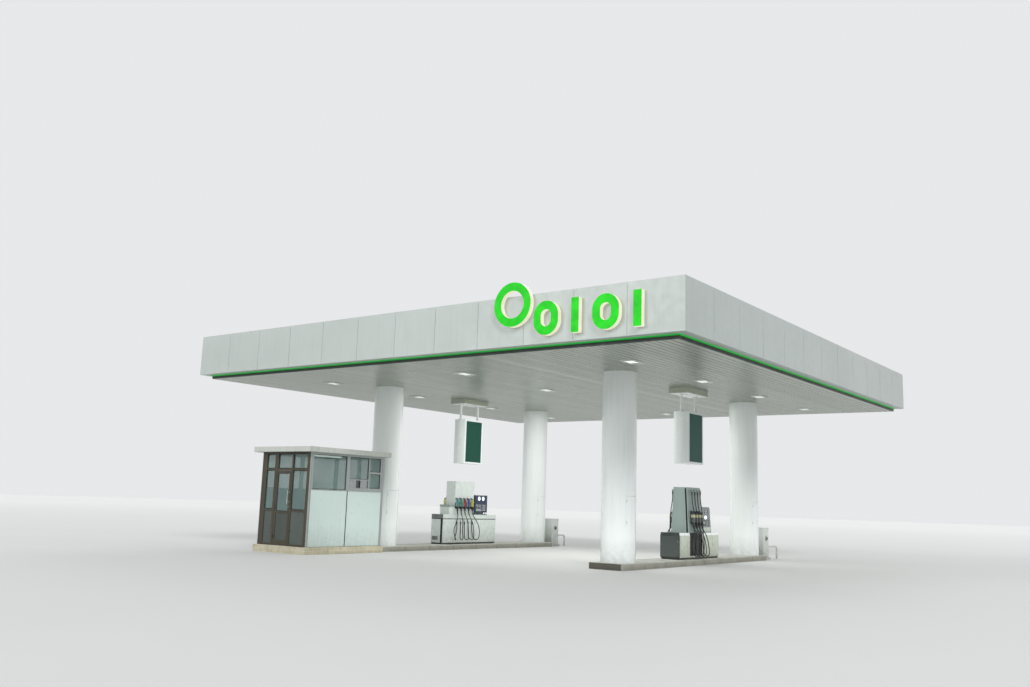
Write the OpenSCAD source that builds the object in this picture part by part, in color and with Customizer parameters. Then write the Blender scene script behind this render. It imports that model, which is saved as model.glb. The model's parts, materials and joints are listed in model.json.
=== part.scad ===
/* [Roof] */
// Width of the roof, left to right
roof_w = 15600; // [14800:100:16400]
// Depth of the roof, front to back
roof_d = 15600; // [15400:100:16400]
// Height of the ceiling above the ground
clear_h = 4800; // [4600:50:5400]
// Height of the fascia
fascia_h = 1110; // [1000:10:1300]
// Thickness of the fascia sheets
fascia_t = 40; // [20:5:60]
// Width of the coping on top of the fascia
coping_w = 180; // [120:10:240]
// Number of fascia panels along one side
panel_count = 12; // [8:1:16]
// Width of the open joint between two fascia panels
joint_w = 12; // [6:2:20]

/* [Edge light] */
// Height of the dark band between the fascia and the ceiling
band_h = 100; // [60:10:160]
// Distance of the band behind the fascia
band_inset = 250; // [180:10:320]
// Thickness of the band
band_t = 40; // [20:5:60]
// Height of the light strip above the band
strip_h = 28; // [16:2:40]
// Depth of the light strip
strip_d = 24; // [14:2:40]

/* [Ceiling] */
// Thickness of the ceiling boards
ceil_t = 40; // [30:5:60]
// Width of one ceiling board with its joint
board_w = 175; // [140:5:250]
// Width of the joint between two boards
groove_w = 22; // [12:2:40]
// Depth of the joint between two boards
groove_d = 18; // [10:2:25]

/* [Lamps] */
// Distance between the lamp rows, left to right
lamp_px = 5000; // [4700:50:5100]
// Distance between the lamps of a row, front to back
lamp_py = 3750; // [3600:50:3950]
// Distance of the lamp grid right of the middle of the roof
lamp_dx = 200; // [100:20:280]
// Distance of the lamp grid behind the middle of the roof
lamp_dy = 290; // [250:20:400]
// Width of a lamp
lamp_w = 360; // [300:10:420]
// Width of the rim around the lens
lamp_rim = 30; // [20:5:45]
// Height of the rim below the ceiling
lamp_drop = 14; // [8:2:20]

/* [Frame] */
// Height of the main beams
beam_h = 400; // [300:20:440]
// Width of the main beams
beam_w = 220; // [180:10:280]
// Height of the cross beams
cross_h = 240; // [180:10:260]
// Width of the cross beams
cross_w = 140; // [100:10:180]
// Number of cross beams
cross_count = 8; // [8:1:8]
// Thickness of the beam flanges
flange_t = 18; // [12:1:25]
// Thickness of the beam webs
web_t = 12; // [8:1:16]
// Height from the ceiling to the main beams
beam_gap = 200; // [160:10:240]
// Side of the ceiling rails
rail_w = 40; // [30:5:50]
// Diameter of the hanger rods
rod_d = 16; // [12:1:24]
// Thickness of the roof sheet
deck_t = 30; // [20:5:45]
// Height of the ribs on the roof sheet
rib_h = 42; // [30:2:60]
// Distance between the ribs of the roof sheet
rib_p = 300; // [250:10:400]

/* [Columns] */
// Distance of the columns from the middle, left and right
col_x = 4000; // [3800:50:4100]
// Distance of the columns from the middle, front and back
col_y = 3800; // [3700:50:3850]
// Diameter of the column cladding
col_d = 860; // [800:10:900]
// Thickness of the column cladding
col_t = 15; // [8:1:25]
// Diameter of the steel post in a column
post_d = 324; // [250:2:380]
// Wall of the steel post
post_t = 12; // [8:1:20]
// Side of the foot and head plates of a post
plate_w = 480; // [400:10:500]
// Thickness of the foot and head plates
plate_t = 25; // [16:1:40]
// Width of the access hatch in a column
hatch_w = 500; // [350:10:560]
// Height of the access hatch
hatch_h = 750; // [500:10:900]
// Height of the hatch above the island
hatch_z = 850; // [600:10:1000]
// Gap around the hatch
hatch_gap = 5; // [3:1:8]
// Gap between a column and the ceiling
col_gap = 5; // [3:1:10]

/* [Islands] */
// Width of an island
island_w = 950; // [930:10:1100]
// Height of the islands
island_h = 150; // [120:5:180]
// Far end of both islands
island_back = 4400; // [4330:10:4600]
// Near end of the right island
island_front = 4400; // [4330:10:4600]
// Corner radius of an island
island_r = 60; // [40:10:90]
// Chamfer of the kerb
kerb_c = 20; // [10:2:30]

/* [Hanging light boxes] */
// Width of a light box
sign_w = 450; // [380:10:500]
// Length of a light box
sign_l = 1060; // [950:10:1150]
// Height of a light box
sign_h = 1430; // [1200:10:1500]
// Bulge of its rounded ends
sign_bulge = 80; // [50:5:100]
// Height of its underside above the ground
sign_z = 2720; // [2650:10:2800]
// Width of the frame around a sign face
sign_rim = 45; // [30:5:60]
// Thickness of the sign faces
face_t = 8; // [5:1:12]
// Width of the mounting box under the ceiling
mount_w = 600; // [560:10:700]
// Length of the mounting box
mount_l = 1250; // [1200:10:1400]
// Height of the mounting box
mount_h = 150; // [120:5:180]
// Diameter of the hanger tubes
tube_d = 76; // [60:2:90]
// Distance between the hanger tubes
tube_p = 870; // [820:10:880]

/* [Left dispenser] */
// Width of the left dispenser
pumpl_w = 490; // [470:10:520]
// Length of the left dispenser
pumpl_l = 2700; // [2640:10:2760]
// Middle of the left dispenser, front to back
pumpl_y = -40; // [-60:5:-20]
// Height of the left cabinet above its island
cabl_h = 785; // [740:5:820]
// Height of the ledge on the left cabinet
ledge_h = 145; // [120:5:170]
// Width of the left tower
towl_w = 390; // [370:10:410]
// Length of the left tower
towl_l = 960; // [940:10:1000]
// Distance of the left tower in front of the middle of its cabinet
towl_in = 265; // [250:5:280]
// Height of the left tower above its island
towl_h = 1980; // [1900:10:2050]
// Length of the step in front of the left tower
step_l = 265; // [220:5:290]
// Height of the step above the island
step_h = 1230; // [1150:10:1300]
// Width of the left display head
headl_w = 410; // [380:10:440]
// Length of the left display head
headl_l = 665; // [620:5:700]
// Height of the left display head
headl_h = 640; // [600:10:680]
// Diameter of the round windows in the left display head
round_d = 150; // [120:5:180]
// Distance between the left nozzles
nozl_p = 187; // [180:1:190]
// Height of the left nozzles above the cabinet
nozl_z = 290; // [270:5:310]

/* [Right dispenser] */
// Width of the right dispenser
pumpr_w = 580; // [576:4:620]
// Length of the right dispenser
pumpr_l = 2400; // [2350:10:2450]
// Middle of the right dispenser, front to back
pumpr_y = 110; // [90:5:130]
// Height of the right cabinet above its island
cabr_h = 700; // [660:10:740]
// Height of the bevel along the top of the cabinet
bevel_h = 70; // [40:5:90]
// Width of the bevel
bevel_w = 18; // [10:2:18]
// Width of the foot of the right tower
towr_w = 540; // [534:2:540]
// Width of the right tower at its top
towr_top = 400; // [360:10:440]
// Length of the right tower
towr_l = 800; // [790:10:840]
// Distance of the right tower in front of the middle of its cabinet
towr_in = 210; // [190:5:230]
// Height of the right tower above its island
towr_h = 1920; // [1850:10:2000]
// Width of the block that holds the nozzles
holster_w = 530; // [520:2:532]
// Width of the right display head
headr_w = 450; // [420:10:480]
// Length of the right display head
headr_l = 660; // [620:10:690]
// Height of the right display head
headr_h = 700; // [670:10:740]
// Distance between the right nozzles
nozr_p = 170; // [160:1:172]
// Height of the right nozzles above the cabinet
nozr_z = 180; // [160:5:200]

/* [Nozzles and hoses] */
// Width of a nozzle
nozzle_w = 44; // [36:2:60]
// Height of a nozzle
nozzle_h = 380; // [360:5:395]
// Diameter of a hose
hose_d = 24; // [20:1:28]

/* [Sign on the fascia] */
// Distance from the middle of the ring to the right end of the roof
ring_in = 4140; // [3960:10:4400]
// Diameter of the ring
ring_d = 1000; // [900:10:1040]
// Rise of the ring above the roof edge
ring_up = 300; // [200:10:330]
// Gap between the ring and the figures
ring_gap = 90; // [60:10:120]
// Height of the figures
figure_h = 750; // [690:10:800]
// Width of the round figure
figure_w = 640; // [560:10:680]
// Gap between two figures
figure_gap = 330; // [250:10:350]
// Width of a stroke
stroke_w = 190; // [150:5:220]
// Depth of the ring and the figures
sign_depth = 120; // [80:10:140]

/* [Service boxes] */
// Width of a service box
box_w = 620; // [580:10:680]
// Length of a service box
box_l = 420; // [380:10:460]
// Height of a service box
box_h = 975; // [900:5:1050]
// Gap between an island and its box
box_gap = 160; // [120:10:200]
// Height of the pad under a box
pad_h = 60; // [40:5:90]
// Diameter of the guard tube
guard_d = 60; // [48:2:76]
// Height of the guard tube
guard_h = 420; // [380:10:480]
// Reach of the left guard behind its box
guardl_l = 470; // [430:10:560]
// Reach of the right guard behind its box
guardr_l = 740; // [650:10:800]
// Bend radius of the guards
guard_r = 110; // [80:5:140]

/* [Kiosk] */
// Width of the kiosk
kiosk_w = 1940; // [1860:10:2000]
// Length of the kiosk
kiosk_l = 2730; // [2600:10:2780]
// Middle of the kiosk, left and right
kiosk_x = -4310; // [-4360:10:-4260]
// Outer face of the kiosk front
kiosk_y = -7280; // [-7330:10:-7250]
// Height of the plinth
plinth_h = 185; // [170:5:240]
// Reach of the plinth beyond the kiosk, at its front, back and left
plinth_over = 85; // [60:5:100]
// Reach of the plinth beyond the lane wall
plinth_side = 45; // [30:5:60]
// Height of the kiosk walls
wall_h = 2485; // [2400:5:2550]
// Thickness of the kiosk walls
wall_t = 60; // [50:5:80]
// Width of the frame members
bar_w = 55; // [45:5:70]
// Width of the mullion in the middle of a side wall
mullion_w = 110; // [80:5:130]
// Width of the corner post beside the left window
corner_l = 180; // [140:10:200]
// Width of the corner post at the lane wall
corner_r = 120; // [90:10:150]
// Length of the front beside the door
left_l = 600; // [560:10:640]
// Width of the post that carries the door
hinge_w = 93; // [80:1:110]
// Height of the sill of the side walls above the floor
sill_h = 1460; // [1400:10:1500]
// Height of the sill of the front above the floor
front_sill = 900; // [850:10:960]
// Height of the door head above the floor
head_h = 1990; // [1960:5:2020]
// Height of the track below the pay window
track_h = 70; // [50:5:90]
// Height of the open pay window
pay_h = 210; // [180:10:240]
// Width of the casement beside the pay window
casement_w = 435; // [380:5:480]
// Thickness of the facing sheets on the walls
side_t = 8; // [6:1:12]
// Thickness of the glass
glass_t = 10; // [6:1:16]
// Thickness of the infill panels
infill_t = 30; // [20:2:40]
// Width of the door leaf
leaf_w = 600; // [580:5:640]
// Thickness of the door leaf
leaf_t = 40; // [35:1:45]
// Gap around the door leaf
leaf_gap = 6; // [5:1:10]
// Radius of the hinge knuckles
knuckle_r = 9; // [8:0.5:11]
// Height of one hinge knuckle
knuckle_h = 40; // [30:1:50]
// Radius of the hinge pins
pin_r = 5; // [4:0.5:6]
// Height of the kiosk roof slab
slab_h = 135; // [100:5:160]
// Overhang of the roof slab at the front and the sides
slab_over = 190; // [150:10:220]
// Overhang of the roof slab at the back
slab_back = 100; // [60:10:140]

/* [Hidden] */
$fn = 64;
eps = 1;
fit = 0.3;
fascia_z = clear_h + band_h;
roof_top = fascia_z + fascia_h;
ceil_x = roof_w / 2 - band_inset - band_t - 2;
ceil_y = roof_d / 2 - band_inset - band_t - 2;
post_top = clear_h + beam_gap;
cross_z = post_top + beam_h;
deck_z = cross_z + cross_h;
inner_x = roof_w / 2 - fascia_t;
inner_y = roof_d / 2 - fascia_t;
bay_x = ceil_x / 3;
cross_p = roof_d / cross_count;
cross_ys = [for (i = [0:cross_count - 1]) (i - (cross_count - 1) / 2) * cross_p];
lamp_xs = [for (i = [-1:1]) i * lamp_px + lamp_dx];
lamp_ys = [for (i = [0:3]) (i - 1.5) * lamp_py + lamp_dy];
floor_z = plinth_h;
kiosk_l0 = kiosk_x - kiosk_w / 2;
kiosk_r0 = kiosk_x + kiosk_w / 2;
kiosk_back = kiosk_y + kiosk_l;
leaf_x = kiosk_l0 + left_l;
side_l = kiosk_l - 2 * wall_t;
sash_t = 30;
seam = 16;
door_rail = 70;
door_x1 = leaf_x + leaf_w + 2 * leaf_gap;
hinge_y = knuckle_r + 1;
hinge_low = 200;
hinge_high = head_h - 230;
hinge_zs = [for (h = [hinge_low, (hinge_low + hinge_high) / 2, hinge_high]) floor_z + h];
pin_gap = 0.05;
stub_u = 32;
stub_v = 80;
stub_r = 19;
elbow_r = 14;
nozzle_u = 78;
high_v = 1100;
high_x = towr_top / 2 + 50;
foot_h = 50;
foot_in = 20;
pump_r = 25;
seam_h = 16;
head_gap = 35;
pocket_t = 10;
towl_y = pumpl_y - towl_in;
nozl_y = towl_y - 60;
towr_y = pumpr_y - towr_in;
nozr_y = towr_y - 18;
leans_l = [-380, -150, -40, 40, 140];
leans_r = [-120, -80, -40, 60];
figure_drop = 50;

// Plate with round corners, standing on the ground plane
module round_plate(w, l, h, r) {
    linear_extrude(height = h) union() {
        square([w - 2 * r, l], center = true);
        square([w, l - 2 * r], center = true);
        for (sx = [-1, 1], sy = [-1, 1])
            translate([sx * (w / 2 - r), sy * (l / 2 - r)]) circle(r = r);
    }
}

// Wedge that mitres both ends of a roof side
module mitre(len, off) {
    d = band_inset + band_t + 60;
    translate([0, 0, clear_h - 200]) linear_extrude(height = fascia_h + 600)
        polygon([[-len / 2, -off], [len / 2, -off], [len / 2 - d, d - off], [d - len / 2, d - off]]);
}

// One side of the fascia: an outer sheet with a soffit return and a coping
module fascia_side(len, off) {
    soffit = band_inset + band_t;
    color("gainsboro") intersection() {
        difference() {
            rotate([90, 0, 90]) linear_extrude(height = len, center = true)
                polygon([[-off, fascia_z], [soffit - off, fascia_z], [soffit - off, fascia_z + fascia_t],
                    [fascia_t - off, fascia_z + fascia_t], [fascia_t - off, roof_top - fascia_t],
                    [coping_w - off, roof_top - fascia_t], [coping_w - off, roof_top], [-off, roof_top]]);
            for (i = [1:panel_count - 1])
                translate([i * len / panel_count - len / 2 - joint_w / 2, -off - eps, fascia_z - eps])
                    cube([joint_w, 8 + eps, fascia_h - fascia_t]);
        }
        mitre(len, off);
    }
}

module fascia_front() { fascia_side(roof_w, roof_d / 2); }
module fascia_right() { rotate([0, 0, 90]) fascia_side(roof_d, roof_w / 2); }
module fascia_back() { rotate([0, 0, 180]) fascia_side(roof_w, roof_d / 2); }
module fascia_left() { rotate([0, 0, 270]) fascia_side(roof_d, roof_w / 2); }

// One side of the recessed band, cut short of its neighbours
module band_side(len, off) {
    color("darkslategray") translate([-len / 2 + band_inset + band_t + 2, band_inset - off, clear_h])
        cube([len - 2 * (band_inset + band_t + 2), band_t, band_h]);
}

module edge_bands() {
    band_side(roof_w, roof_d / 2);
    rotate([0, 0, 180]) band_side(roof_w, roof_d / 2);
    for (a = [90, 270])
        rotate([0, 0, a]) color("darkslategray")
            translate([-roof_d / 2 + band_inset, band_inset - roof_w / 2, clear_h])
                cube([roof_d - 2 * band_inset, band_t, band_h]);
}

// Lit strip in the corner under the fascia, in front of the band
module strip_side(len, off, trim) {
    color("lime") translate([-len / 2 + trim, band_inset - strip_d - off, fascia_z - strip_h])
        cube([len - 2 * trim, strip_d, strip_h]);
}

module light_strips() {
    for (a = [0, 180]) rotate([0, 0, a]) strip_side(roof_w, roof_d / 2, band_inset + 5);
    for (a = [90, 270])
        rotate([0, 0, a]) strip_side(roof_d, roof_w / 2, band_inset - strip_d);
}

// Boards from xa to xb, hung with open joints between them
module ceiling_bay(xa, xb) {
    n = round((xb - xa) / board_w);
    p = (xb - xa) / n;
    under = [for (i = [0:n - 1]) each [
        [xa + i * p + (i == 0 ? 0 : groove_w / 2), clear_h],
        [xa + (i + 1) * p - (i == n - 1 ? 0 : groove_w / 2), clear_h],
        if (i < n - 1) [xa + (i + 1) * p - groove_w / 2, clear_h + groove_d],
        if (i < n - 1) [xa + (i + 1) * p + groove_w / 2, clear_h + groove_d]]];
    color("ivory") difference() {
        rotate([90, 0, 0]) linear_extrude(height = 2 * ceil_y, center = true)
            polygon(concat(under, [[xb, clear_h + ceil_t], [xa, clear_h + ceil_t]]));
        for (x = lamp_xs, y = lamp_ys)
            if (x > xa && x < xb)
                translate([x - lamp_w / 2 + lamp_rim / 2, y - lamp_w / 2 + lamp_rim / 2, clear_h - eps])
                    cube([lamp_w - lamp_rim, lamp_w - lamp_rim, ceil_t + 2 * eps]);
        for (sx = [-1, 1], sy = [-1, 1])
            if (sx * col_x > xa && sx * col_x < xb)
                translate([sx * col_x, sy * col_y, clear_h - eps])
                    cylinder(d = col_d + 2 * col_gap, h = ceil_t + 2 * eps);
    }
}

module ceiling_left() { ceiling_bay(-ceil_x, -bay_x - 1); }
module ceiling_middle() { ceiling_bay(-bay_x + 1, bay_x - 1); }
module ceiling_right() { ceiling_bay(bay_x + 1, ceil_x); }

module lamp_frames() {
    hole = lamp_w - lamp_rim - 4;
    lens = lamp_w - 2 * lamp_rim;
    for (x = lamp_xs, y = lamp_ys)
        color("white") translate([x, y, clear_h - lamp_drop]) difference() {
            union() {
                translate([-lamp_w / 2, -lamp_w / 2, 0]) cube([lamp_w, lamp_w, lamp_drop]);
                translate([-hole / 2, -hole / 2, 0]) cube([hole, hole, lamp_drop + ceil_t]);
            }
            translate([-lens / 2, -lens / 2, -eps]) cube([lens, lens, lamp_drop + ceil_t - 6]);
        }
}

module lamp_lenses() {
    lens = lamp_w - 2 * lamp_rim - 2 * fit;
    for (x = lamp_xs, y = lamp_ys)
        color("snow") translate([x - lens / 2, y - lens / 2, clear_h - lamp_drop + 3])
            cube([lens, lens, lamp_drop + ceil_t - 10]);
}

// Sheet with trapezoid ribs that run from front to back
module roof_sheet() {
    w = 2 * inner_x - 20;
    n = floor(w / rib_p);
    ribs = [for (i = [0:n - 1]) each [
        [(i + 0.32) * rib_p - n * rib_p / 2, deck_z + deck_t],
        [(i + 0.38) * rib_p - n * rib_p / 2, deck_z + deck_t + rib_h],
        [(i + 0.62) * rib_p - n * rib_p / 2, deck_z + deck_t + rib_h],
        [(i + 0.68) * rib_p - n * rib_p / 2, deck_z + deck_t]]];
    color("silver") rotate([90, 0, 0]) linear_extrude(height = 2 * inner_y - 20, center = true)
        polygon(concat([[-w / 2, deck_z], [-w / 2, deck_z + deck_t]], ribs,
            [[w / 2, deck_z + deck_t], [w / 2, deck_z]]));
}

// Rolled section, its foot on the plan line
module i_section(w, h) {
    translate([-w / 2, 0]) square([w, flange_t]);
    translate([-w / 2, h - flange_t]) square([w, flange_t]);
    translate([-web_t / 2, flange_t - eps]) square([web_t, h - 2 * flange_t + 2 * eps]);
}

module main_beams() {
    for (sx = [-1, 1])
        color("slategray") translate([sx * col_x, 0, post_top]) rotate([90, 0, 0])
            linear_extrude(height = 2 * inner_y, center = true) i_section(beam_w, beam_h);
}

module cross_beams() {
    for (y = cross_ys)
        color("slategray") translate([0, y, cross_z]) rotate([90, 0, 90])
            linear_extrude(height = 2 * inner_x, center = true) i_section(cross_w, cross_h);
}

// Rails that carry the boards, hung on rods from the cross beams
module ceiling_rails() {
    rail_z = clear_h + ceil_t;
    for (y = cross_ys)
        color("silver") {
            translate([-ceil_x, y - rail_w / 2, rail_z]) cube([2 * ceil_x, rail_w, rail_w]);
            for (i = [-1.5:1:1.5])
                translate([i * col_x, y, rail_z + rail_w - eps])
                    cylinder(d = rod_d, h = cross_z - rail_z - rail_w + eps);
        }
}

module column_posts() {
    for (sx = [-1, 1], sy = [-1, 1])
        color("slategray") translate([sx * col_x, sy * col_y, 0]) {
            translate([-plate_w / 2, -plate_w / 2, island_h]) cube([plate_w, plate_w, plate_t]);
            translate([-plate_w / 2, -plate_w / 2, post_top - plate_t]) cube([plate_w, plate_w, plate_t]);
            translate([0, 0, island_h + plate_t - eps]) difference() {
                cylinder(d = post_d, h = post_top - island_h - 2 * plate_t + 2 * eps);
                translate([0, 0, -eps])
                    cylinder(d = post_d - 2 * post_t, h = post_top - island_h - 2 * plate_t + 4 * eps);
            }
        }
}

// Ring of cladding between two heights
module cladding(z0, z1) {
    translate([0, 0, z0]) difference() {
        cylinder(d = col_d, h = z1 - z0);
        translate([0, 0, -eps]) cylinder(d = col_d - 2 * col_t, h = z1 - z0 + 2 * eps);
    }
}

module column(sx, sy) {
    color("white") translate([sx * col_x, sy * col_y, 0]) difference() {
        cladding(island_h, clear_h + ceil_t / 2);
        translate([0, -hatch_w / 2, island_h + hatch_z]) cube([col_d, hatch_w, hatch_h]);
        translate([0, 0, clear_h - 90]) difference() {
            cylinder(d = col_d + 10, h = 12);
            translate([0, 0, -eps]) cylinder(d = col_d - 12, h = 12 + 2 * eps);
        }
    }
}

module column_front_left() { column(-1, -1); }
module column_front_right() { column(1, -1); }
module column_back_left() { column(-1, 1); }
module column_back_right() { column(1, 1); }

module column_hatches() {
    for (sx = [-1, 1], sy = [-1, 1])
        color("white") translate([sx * col_x, sy * col_y, 0]) intersection() {
            cladding(island_h + hatch_z, island_h + hatch_z + hatch_h - hatch_gap);
            translate([0, hatch_gap - hatch_w / 2, 0]) cube([col_d, hatch_w - 2 * hatch_gap, clear_h]);
        }
}

// Kerbed island from front to back, with a chamfered edge
module island(x, y0, y1) {
    w = island_w / 2;
    color("darkgray") intersection() {
        translate([x, (y0 + y1) / 2, 0]) round_plate(island_w, y1 - y0, island_h, island_r);
        translate([x, y1, 0]) rotate([90, 0, 0]) linear_extrude(height = y1 - y0)
            polygon([[-w, 0], [w, 0], [w, island_h - kerb_c], [w - kerb_c, island_h],
                [kerb_c - w, island_h], [-w, island_h - kerb_c]]);
    }
}

module island_left() { island(-col_x, kiosk_back + plinth_over, island_back); }
module island_right() { island(col_x, -island_front, island_back); }

module sign_mount(x) {
    mount_z = clear_h - mount_h;
    color("lightgray") translate([x, 0, 0]) {
        translate([0, 0, mount_z]) round_plate(mount_w, mount_l, mount_h, 20);
        for (s = [-1, 1])
            translate([0, s * tube_p / 2, sign_z + sign_h])
                cylinder(d = tube_d, h = mount_z - sign_z - sign_h + eps);
    }
}

module sign_mount_left() { sign_mount(-col_x); }
module sign_mount_right() { sign_mount(col_x); }

// Box with bowed ends and a shallow pocket for each face
module sign_box(x) {
    end_r = (pow(sign_w / 2, 2) + pow(sign_bulge, 2)) / (2 * sign_bulge);
    flat_l = sign_l - 2 * sign_bulge;
    color("white") translate([x, 0, sign_z]) difference() {
        linear_extrude(height = sign_h) union() {
            square([sign_w, flat_l], center = true);
            for (a = [0, 180])
                rotate([0, 0, a]) intersection() {
                    translate([0, sign_l / 2 - end_r]) circle(r = end_r, $fn = 96);
                    translate([-sign_w / 2, flat_l / 2 - eps]) square([sign_w, sign_bulge + 2 * eps]);
                }
        }
        for (s = [-1, 1])
            translate([s * sign_w / 2 - face_t, -flat_l / 2 + sign_rim, sign_rim])
                cube([2 * face_t, flat_l - 2 * sign_rim, sign_h - 2 * sign_rim]);
    }
}

module sign_box_left() { sign_box(-col_x); }
module sign_box_right() { sign_box(col_x); }

module sign_faces() {
    flat_l = sign_l - 2 * sign_bulge;
    for (x = [-col_x, col_x], s = [-1, 1])
        color("seagreen") translate([x + s * (sign_w / 2 - face_t / 2) - face_t / 2 + s * 2,
            -flat_l / 2 + sign_rim + fit, sign_z + sign_rim])
            cube([face_t - 4, flat_l - 2 * sign_rim - 2 * fit, sign_h - 2 * sign_rim - fit]);
}

// Outline of an upright figure with round ends
module stadium(w, h) {
    square([w, h - w], center = true);
    for (s = [-1, 1]) translate([0, s * (h - w) / 2]) circle(d = w);
}

// Lit sign on the fascia: a plain ring and the figures 0 and 1, twice
module fascia_sign() {
    ring_x = roof_w / 2 - ring_in;
    step = figure_w + stroke_w + 2 * figure_gap;
    first = ring_x + ring_d / 2 + ring_gap;
    color("limegreen") translate([0, -roof_d / 2, 0]) rotate([90, 0, 0])
        linear_extrude(height = sign_depth) {
        translate([ring_x, roof_top + ring_up - ring_d / 2]) difference() {
            circle(d = ring_d);
            circle(d = ring_d - 2 * stroke_w);
        }
        for (i = [0, 1])
            translate([first + i * step, fascia_z + (fascia_h - figure_drop) / 2]) {
                translate([figure_w / 2, 0]) difference() {
                    stadium(figure_w, figure_h);
                    stadium(figure_w - 2 * stroke_w, figure_h - 2 * stroke_w);
                }
                translate([figure_w + figure_gap, -figure_h / 2]) square([stroke_w, figure_h]);
            }
    }
}

// Recessed foot under a cabinet
module foot(w, l) {
    translate([foot_in - w / 2, foot_in - l / 2, 0]) cube([w - 2 * foot_in, l - 2 * foot_in, foot_h + eps]);
}

// Elbow on the cabinet face where a low hose starts
module hose_stub() {
    translate([stub_u, 0, -stub_v]) cylinder(r = stub_r, h = 55);
    translate([-eps, 0, 35 - stub_v]) rotate([0, 90, 0]) cylinder(r = elbow_r, h = stub_u);
}

// Both faces of the left dispenser, one nozzle place after the other, u from the axis
module left_places(u) {
    for (s = [0, 180], i = [-2:2])
        translate([-col_x, nozl_y, island_h + cabl_h]) rotate([0, 0, s])
            translate([u, i * nozl_p, 0]) children();
}

// Both faces of the right dispenser
module right_places(u) {
    for (s = [0, 180], i = [-1.5:1:1.5])
        translate([col_x, nozr_y, island_h + cabr_h]) rotate([0, 0, s])
            translate([u, i * nozr_p, 0]) children();
}

// Cabinet with a ledge above a seam, and with a slot and a vent in both end panels
module pump_base_left() {
    slot_w = 80;
    slot_t = 25;
    lip = 12;
    color("white") {
        translate([-col_x, pumpl_y, island_h]) difference() {
            union() {
                foot(pumpl_w, pumpl_l);
                translate([0, 0, foot_h]) round_plate(pumpl_w, pumpl_l, cabl_h - foot_h, pump_r);
                translate([lip - pumpl_w / 2, lip - pumpl_l / 2, cabl_h - eps])
                    cube([pumpl_w - 2 * lip, pumpl_l - 2 * lip, seam_h + 2 * eps]);
                translate([0, 0, cabl_h + seam_h])
                    round_plate(pumpl_w, pumpl_l, ledge_h - seam_h, pump_r);
            }
            for (a = [0, 180])
                rotate([0, 0, a]) {
                    translate([pumpl_w / 2 - lip - slot_w, -pumpl_l / 2 - eps, foot_h])
                        cube([slot_w, slot_t + eps, cabl_h + seam_h - foot_h]);
                    translate([-pumpl_w / 2 + 60, -pumpl_l / 2 - eps, 130]) cube([240, 10 + eps, 120]);
                }
        }
        left_places(pumpl_w / 2) hose_stub();
    }
}

// Tower with a lower step in front of it
module pump_tower_left() {
    z = cabl_h + ledge_h;
    cap_h = 70;
    cap_over = 6;
    color("whitesmoke") translate([-col_x, towl_y, island_h + z]) {
        round_plate(towl_w, towl_l, towl_h - z, pump_r);
        translate([-towl_w / 2, -towl_l / 2 - step_l, 0]) cube([towl_w, step_l + pump_r, step_h - z]);
        translate([-towl_w / 2 - cap_over, -towl_l / 2 - step_l - cap_over, step_h - z - cap_h])
            cube([towl_w + 2 * cap_over, step_l + cap_over, cap_h]);
    }
}

// Display head with two round windows over a keypad pocket on both faces
module pump_display_left() {
    color("midnightblue")
        translate([-col_x, towl_y + towl_l / 2 + head_gap + headl_l / 2, island_h + cabl_h + ledge_h])
            difference() {
                round_plate(headl_w, headl_l, headl_h, pump_r);
                for (a = [0, 180])
                    rotate([0, 0, a]) translate([headl_w / 2 - pocket_t, 0, 0]) {
                        for (s = [-1, 1])
                            translate([0, s * 0.7 * round_d, headl_h - 120]) rotate([0, 90, 0])
                                cylinder(d = round_d, h = pocket_t + eps);
                        translate([0, 60 - headl_l / 2, 90]) cube([pocket_t + eps, headl_l - 120, 260]);
                    }
            }
}

// Cabinet with a bevelled top and a hose bay let into both faces
module pump_base_right() {
    w = pumpr_w / 2;
    bay_l = 4 * nozr_p + 60;
    bay_t = 20;
    color("silver") translate([col_x, pumpr_y, island_h]) difference() {
        union() {
            foot(pumpr_w, pumpr_l);
            translate([0, pumpr_l / 2, 0]) rotate([90, 0, 0]) linear_extrude(height = pumpr_l)
                polygon([[-w, foot_h], [w, foot_h], [w, cabr_h - bevel_h], [w - bevel_w, cabr_h],
                    [bevel_w - w, cabr_h], [-w, cabr_h - bevel_h]]);
        }
        for (s = [-1, 1])
            translate([s * w - bay_t, nozr_y - pumpr_y - bay_l / 2, foot_h + 40])
                cube([2 * bay_t, bay_l, cabr_h]);
    }
}

// Elbow high on the tower where a hose starts
module high_stub() {
    translate([0, 0, high_v]) cylinder(r = stub_r, h = 60);
    translate([-90, 0, high_v + 38]) rotate([0, 90, 0]) cylinder(r = elbow_r, h = 90);
}

// Tower that narrows towards its top, with a groove in both ends and a block for the nozzles
module pump_tower_right() {
    h = towr_h - cabr_h;
    base_h = 250;
    neck = towr_w - 34;
    cut_t = 30;
    a0 = neck / 2 - 18;
    a1 = towr_top / 2 - 18;
    cut_w = 45;
    color("silver") {
        translate([col_x, towr_y, island_h + cabr_h]) difference() {
            rotate([90, 0, 0]) linear_extrude(height = towr_l, center = true)
                polygon([[-towr_w / 2, 0], [towr_w / 2, 0], [towr_w / 2, base_h], [neck / 2, base_h],
                    [towr_top / 2, h], [-towr_top / 2, h], [-neck / 2, base_h], [-towr_w / 2, base_h]]);
            for (a = [0, 180])
                rotate([0, 0, a]) translate([0, cut_t - towr_l / 2, 0]) rotate([90, 0, 0])
                    linear_extrude(height = cut_t + eps)
                        polygon([[a0 - cut_w, -eps], [a0, -eps], [a1, h - cut_t], [a1 - cut_w, h - cut_t]]);
        }
        for (a = [0, 180])
            translate([col_x, nozr_y, island_h + cabr_h]) rotate([0, 0, a])
                translate([0, -1.5 * nozr_p - 60, base_h - eps])
                    cube([holster_w / 2, 3 * nozr_p + 120, nozr_z + nozzle_h + 40 - base_h]);
        right_places(high_x) translate([0, nozr_p / 2, 0]) high_stub();
    }
}

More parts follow.
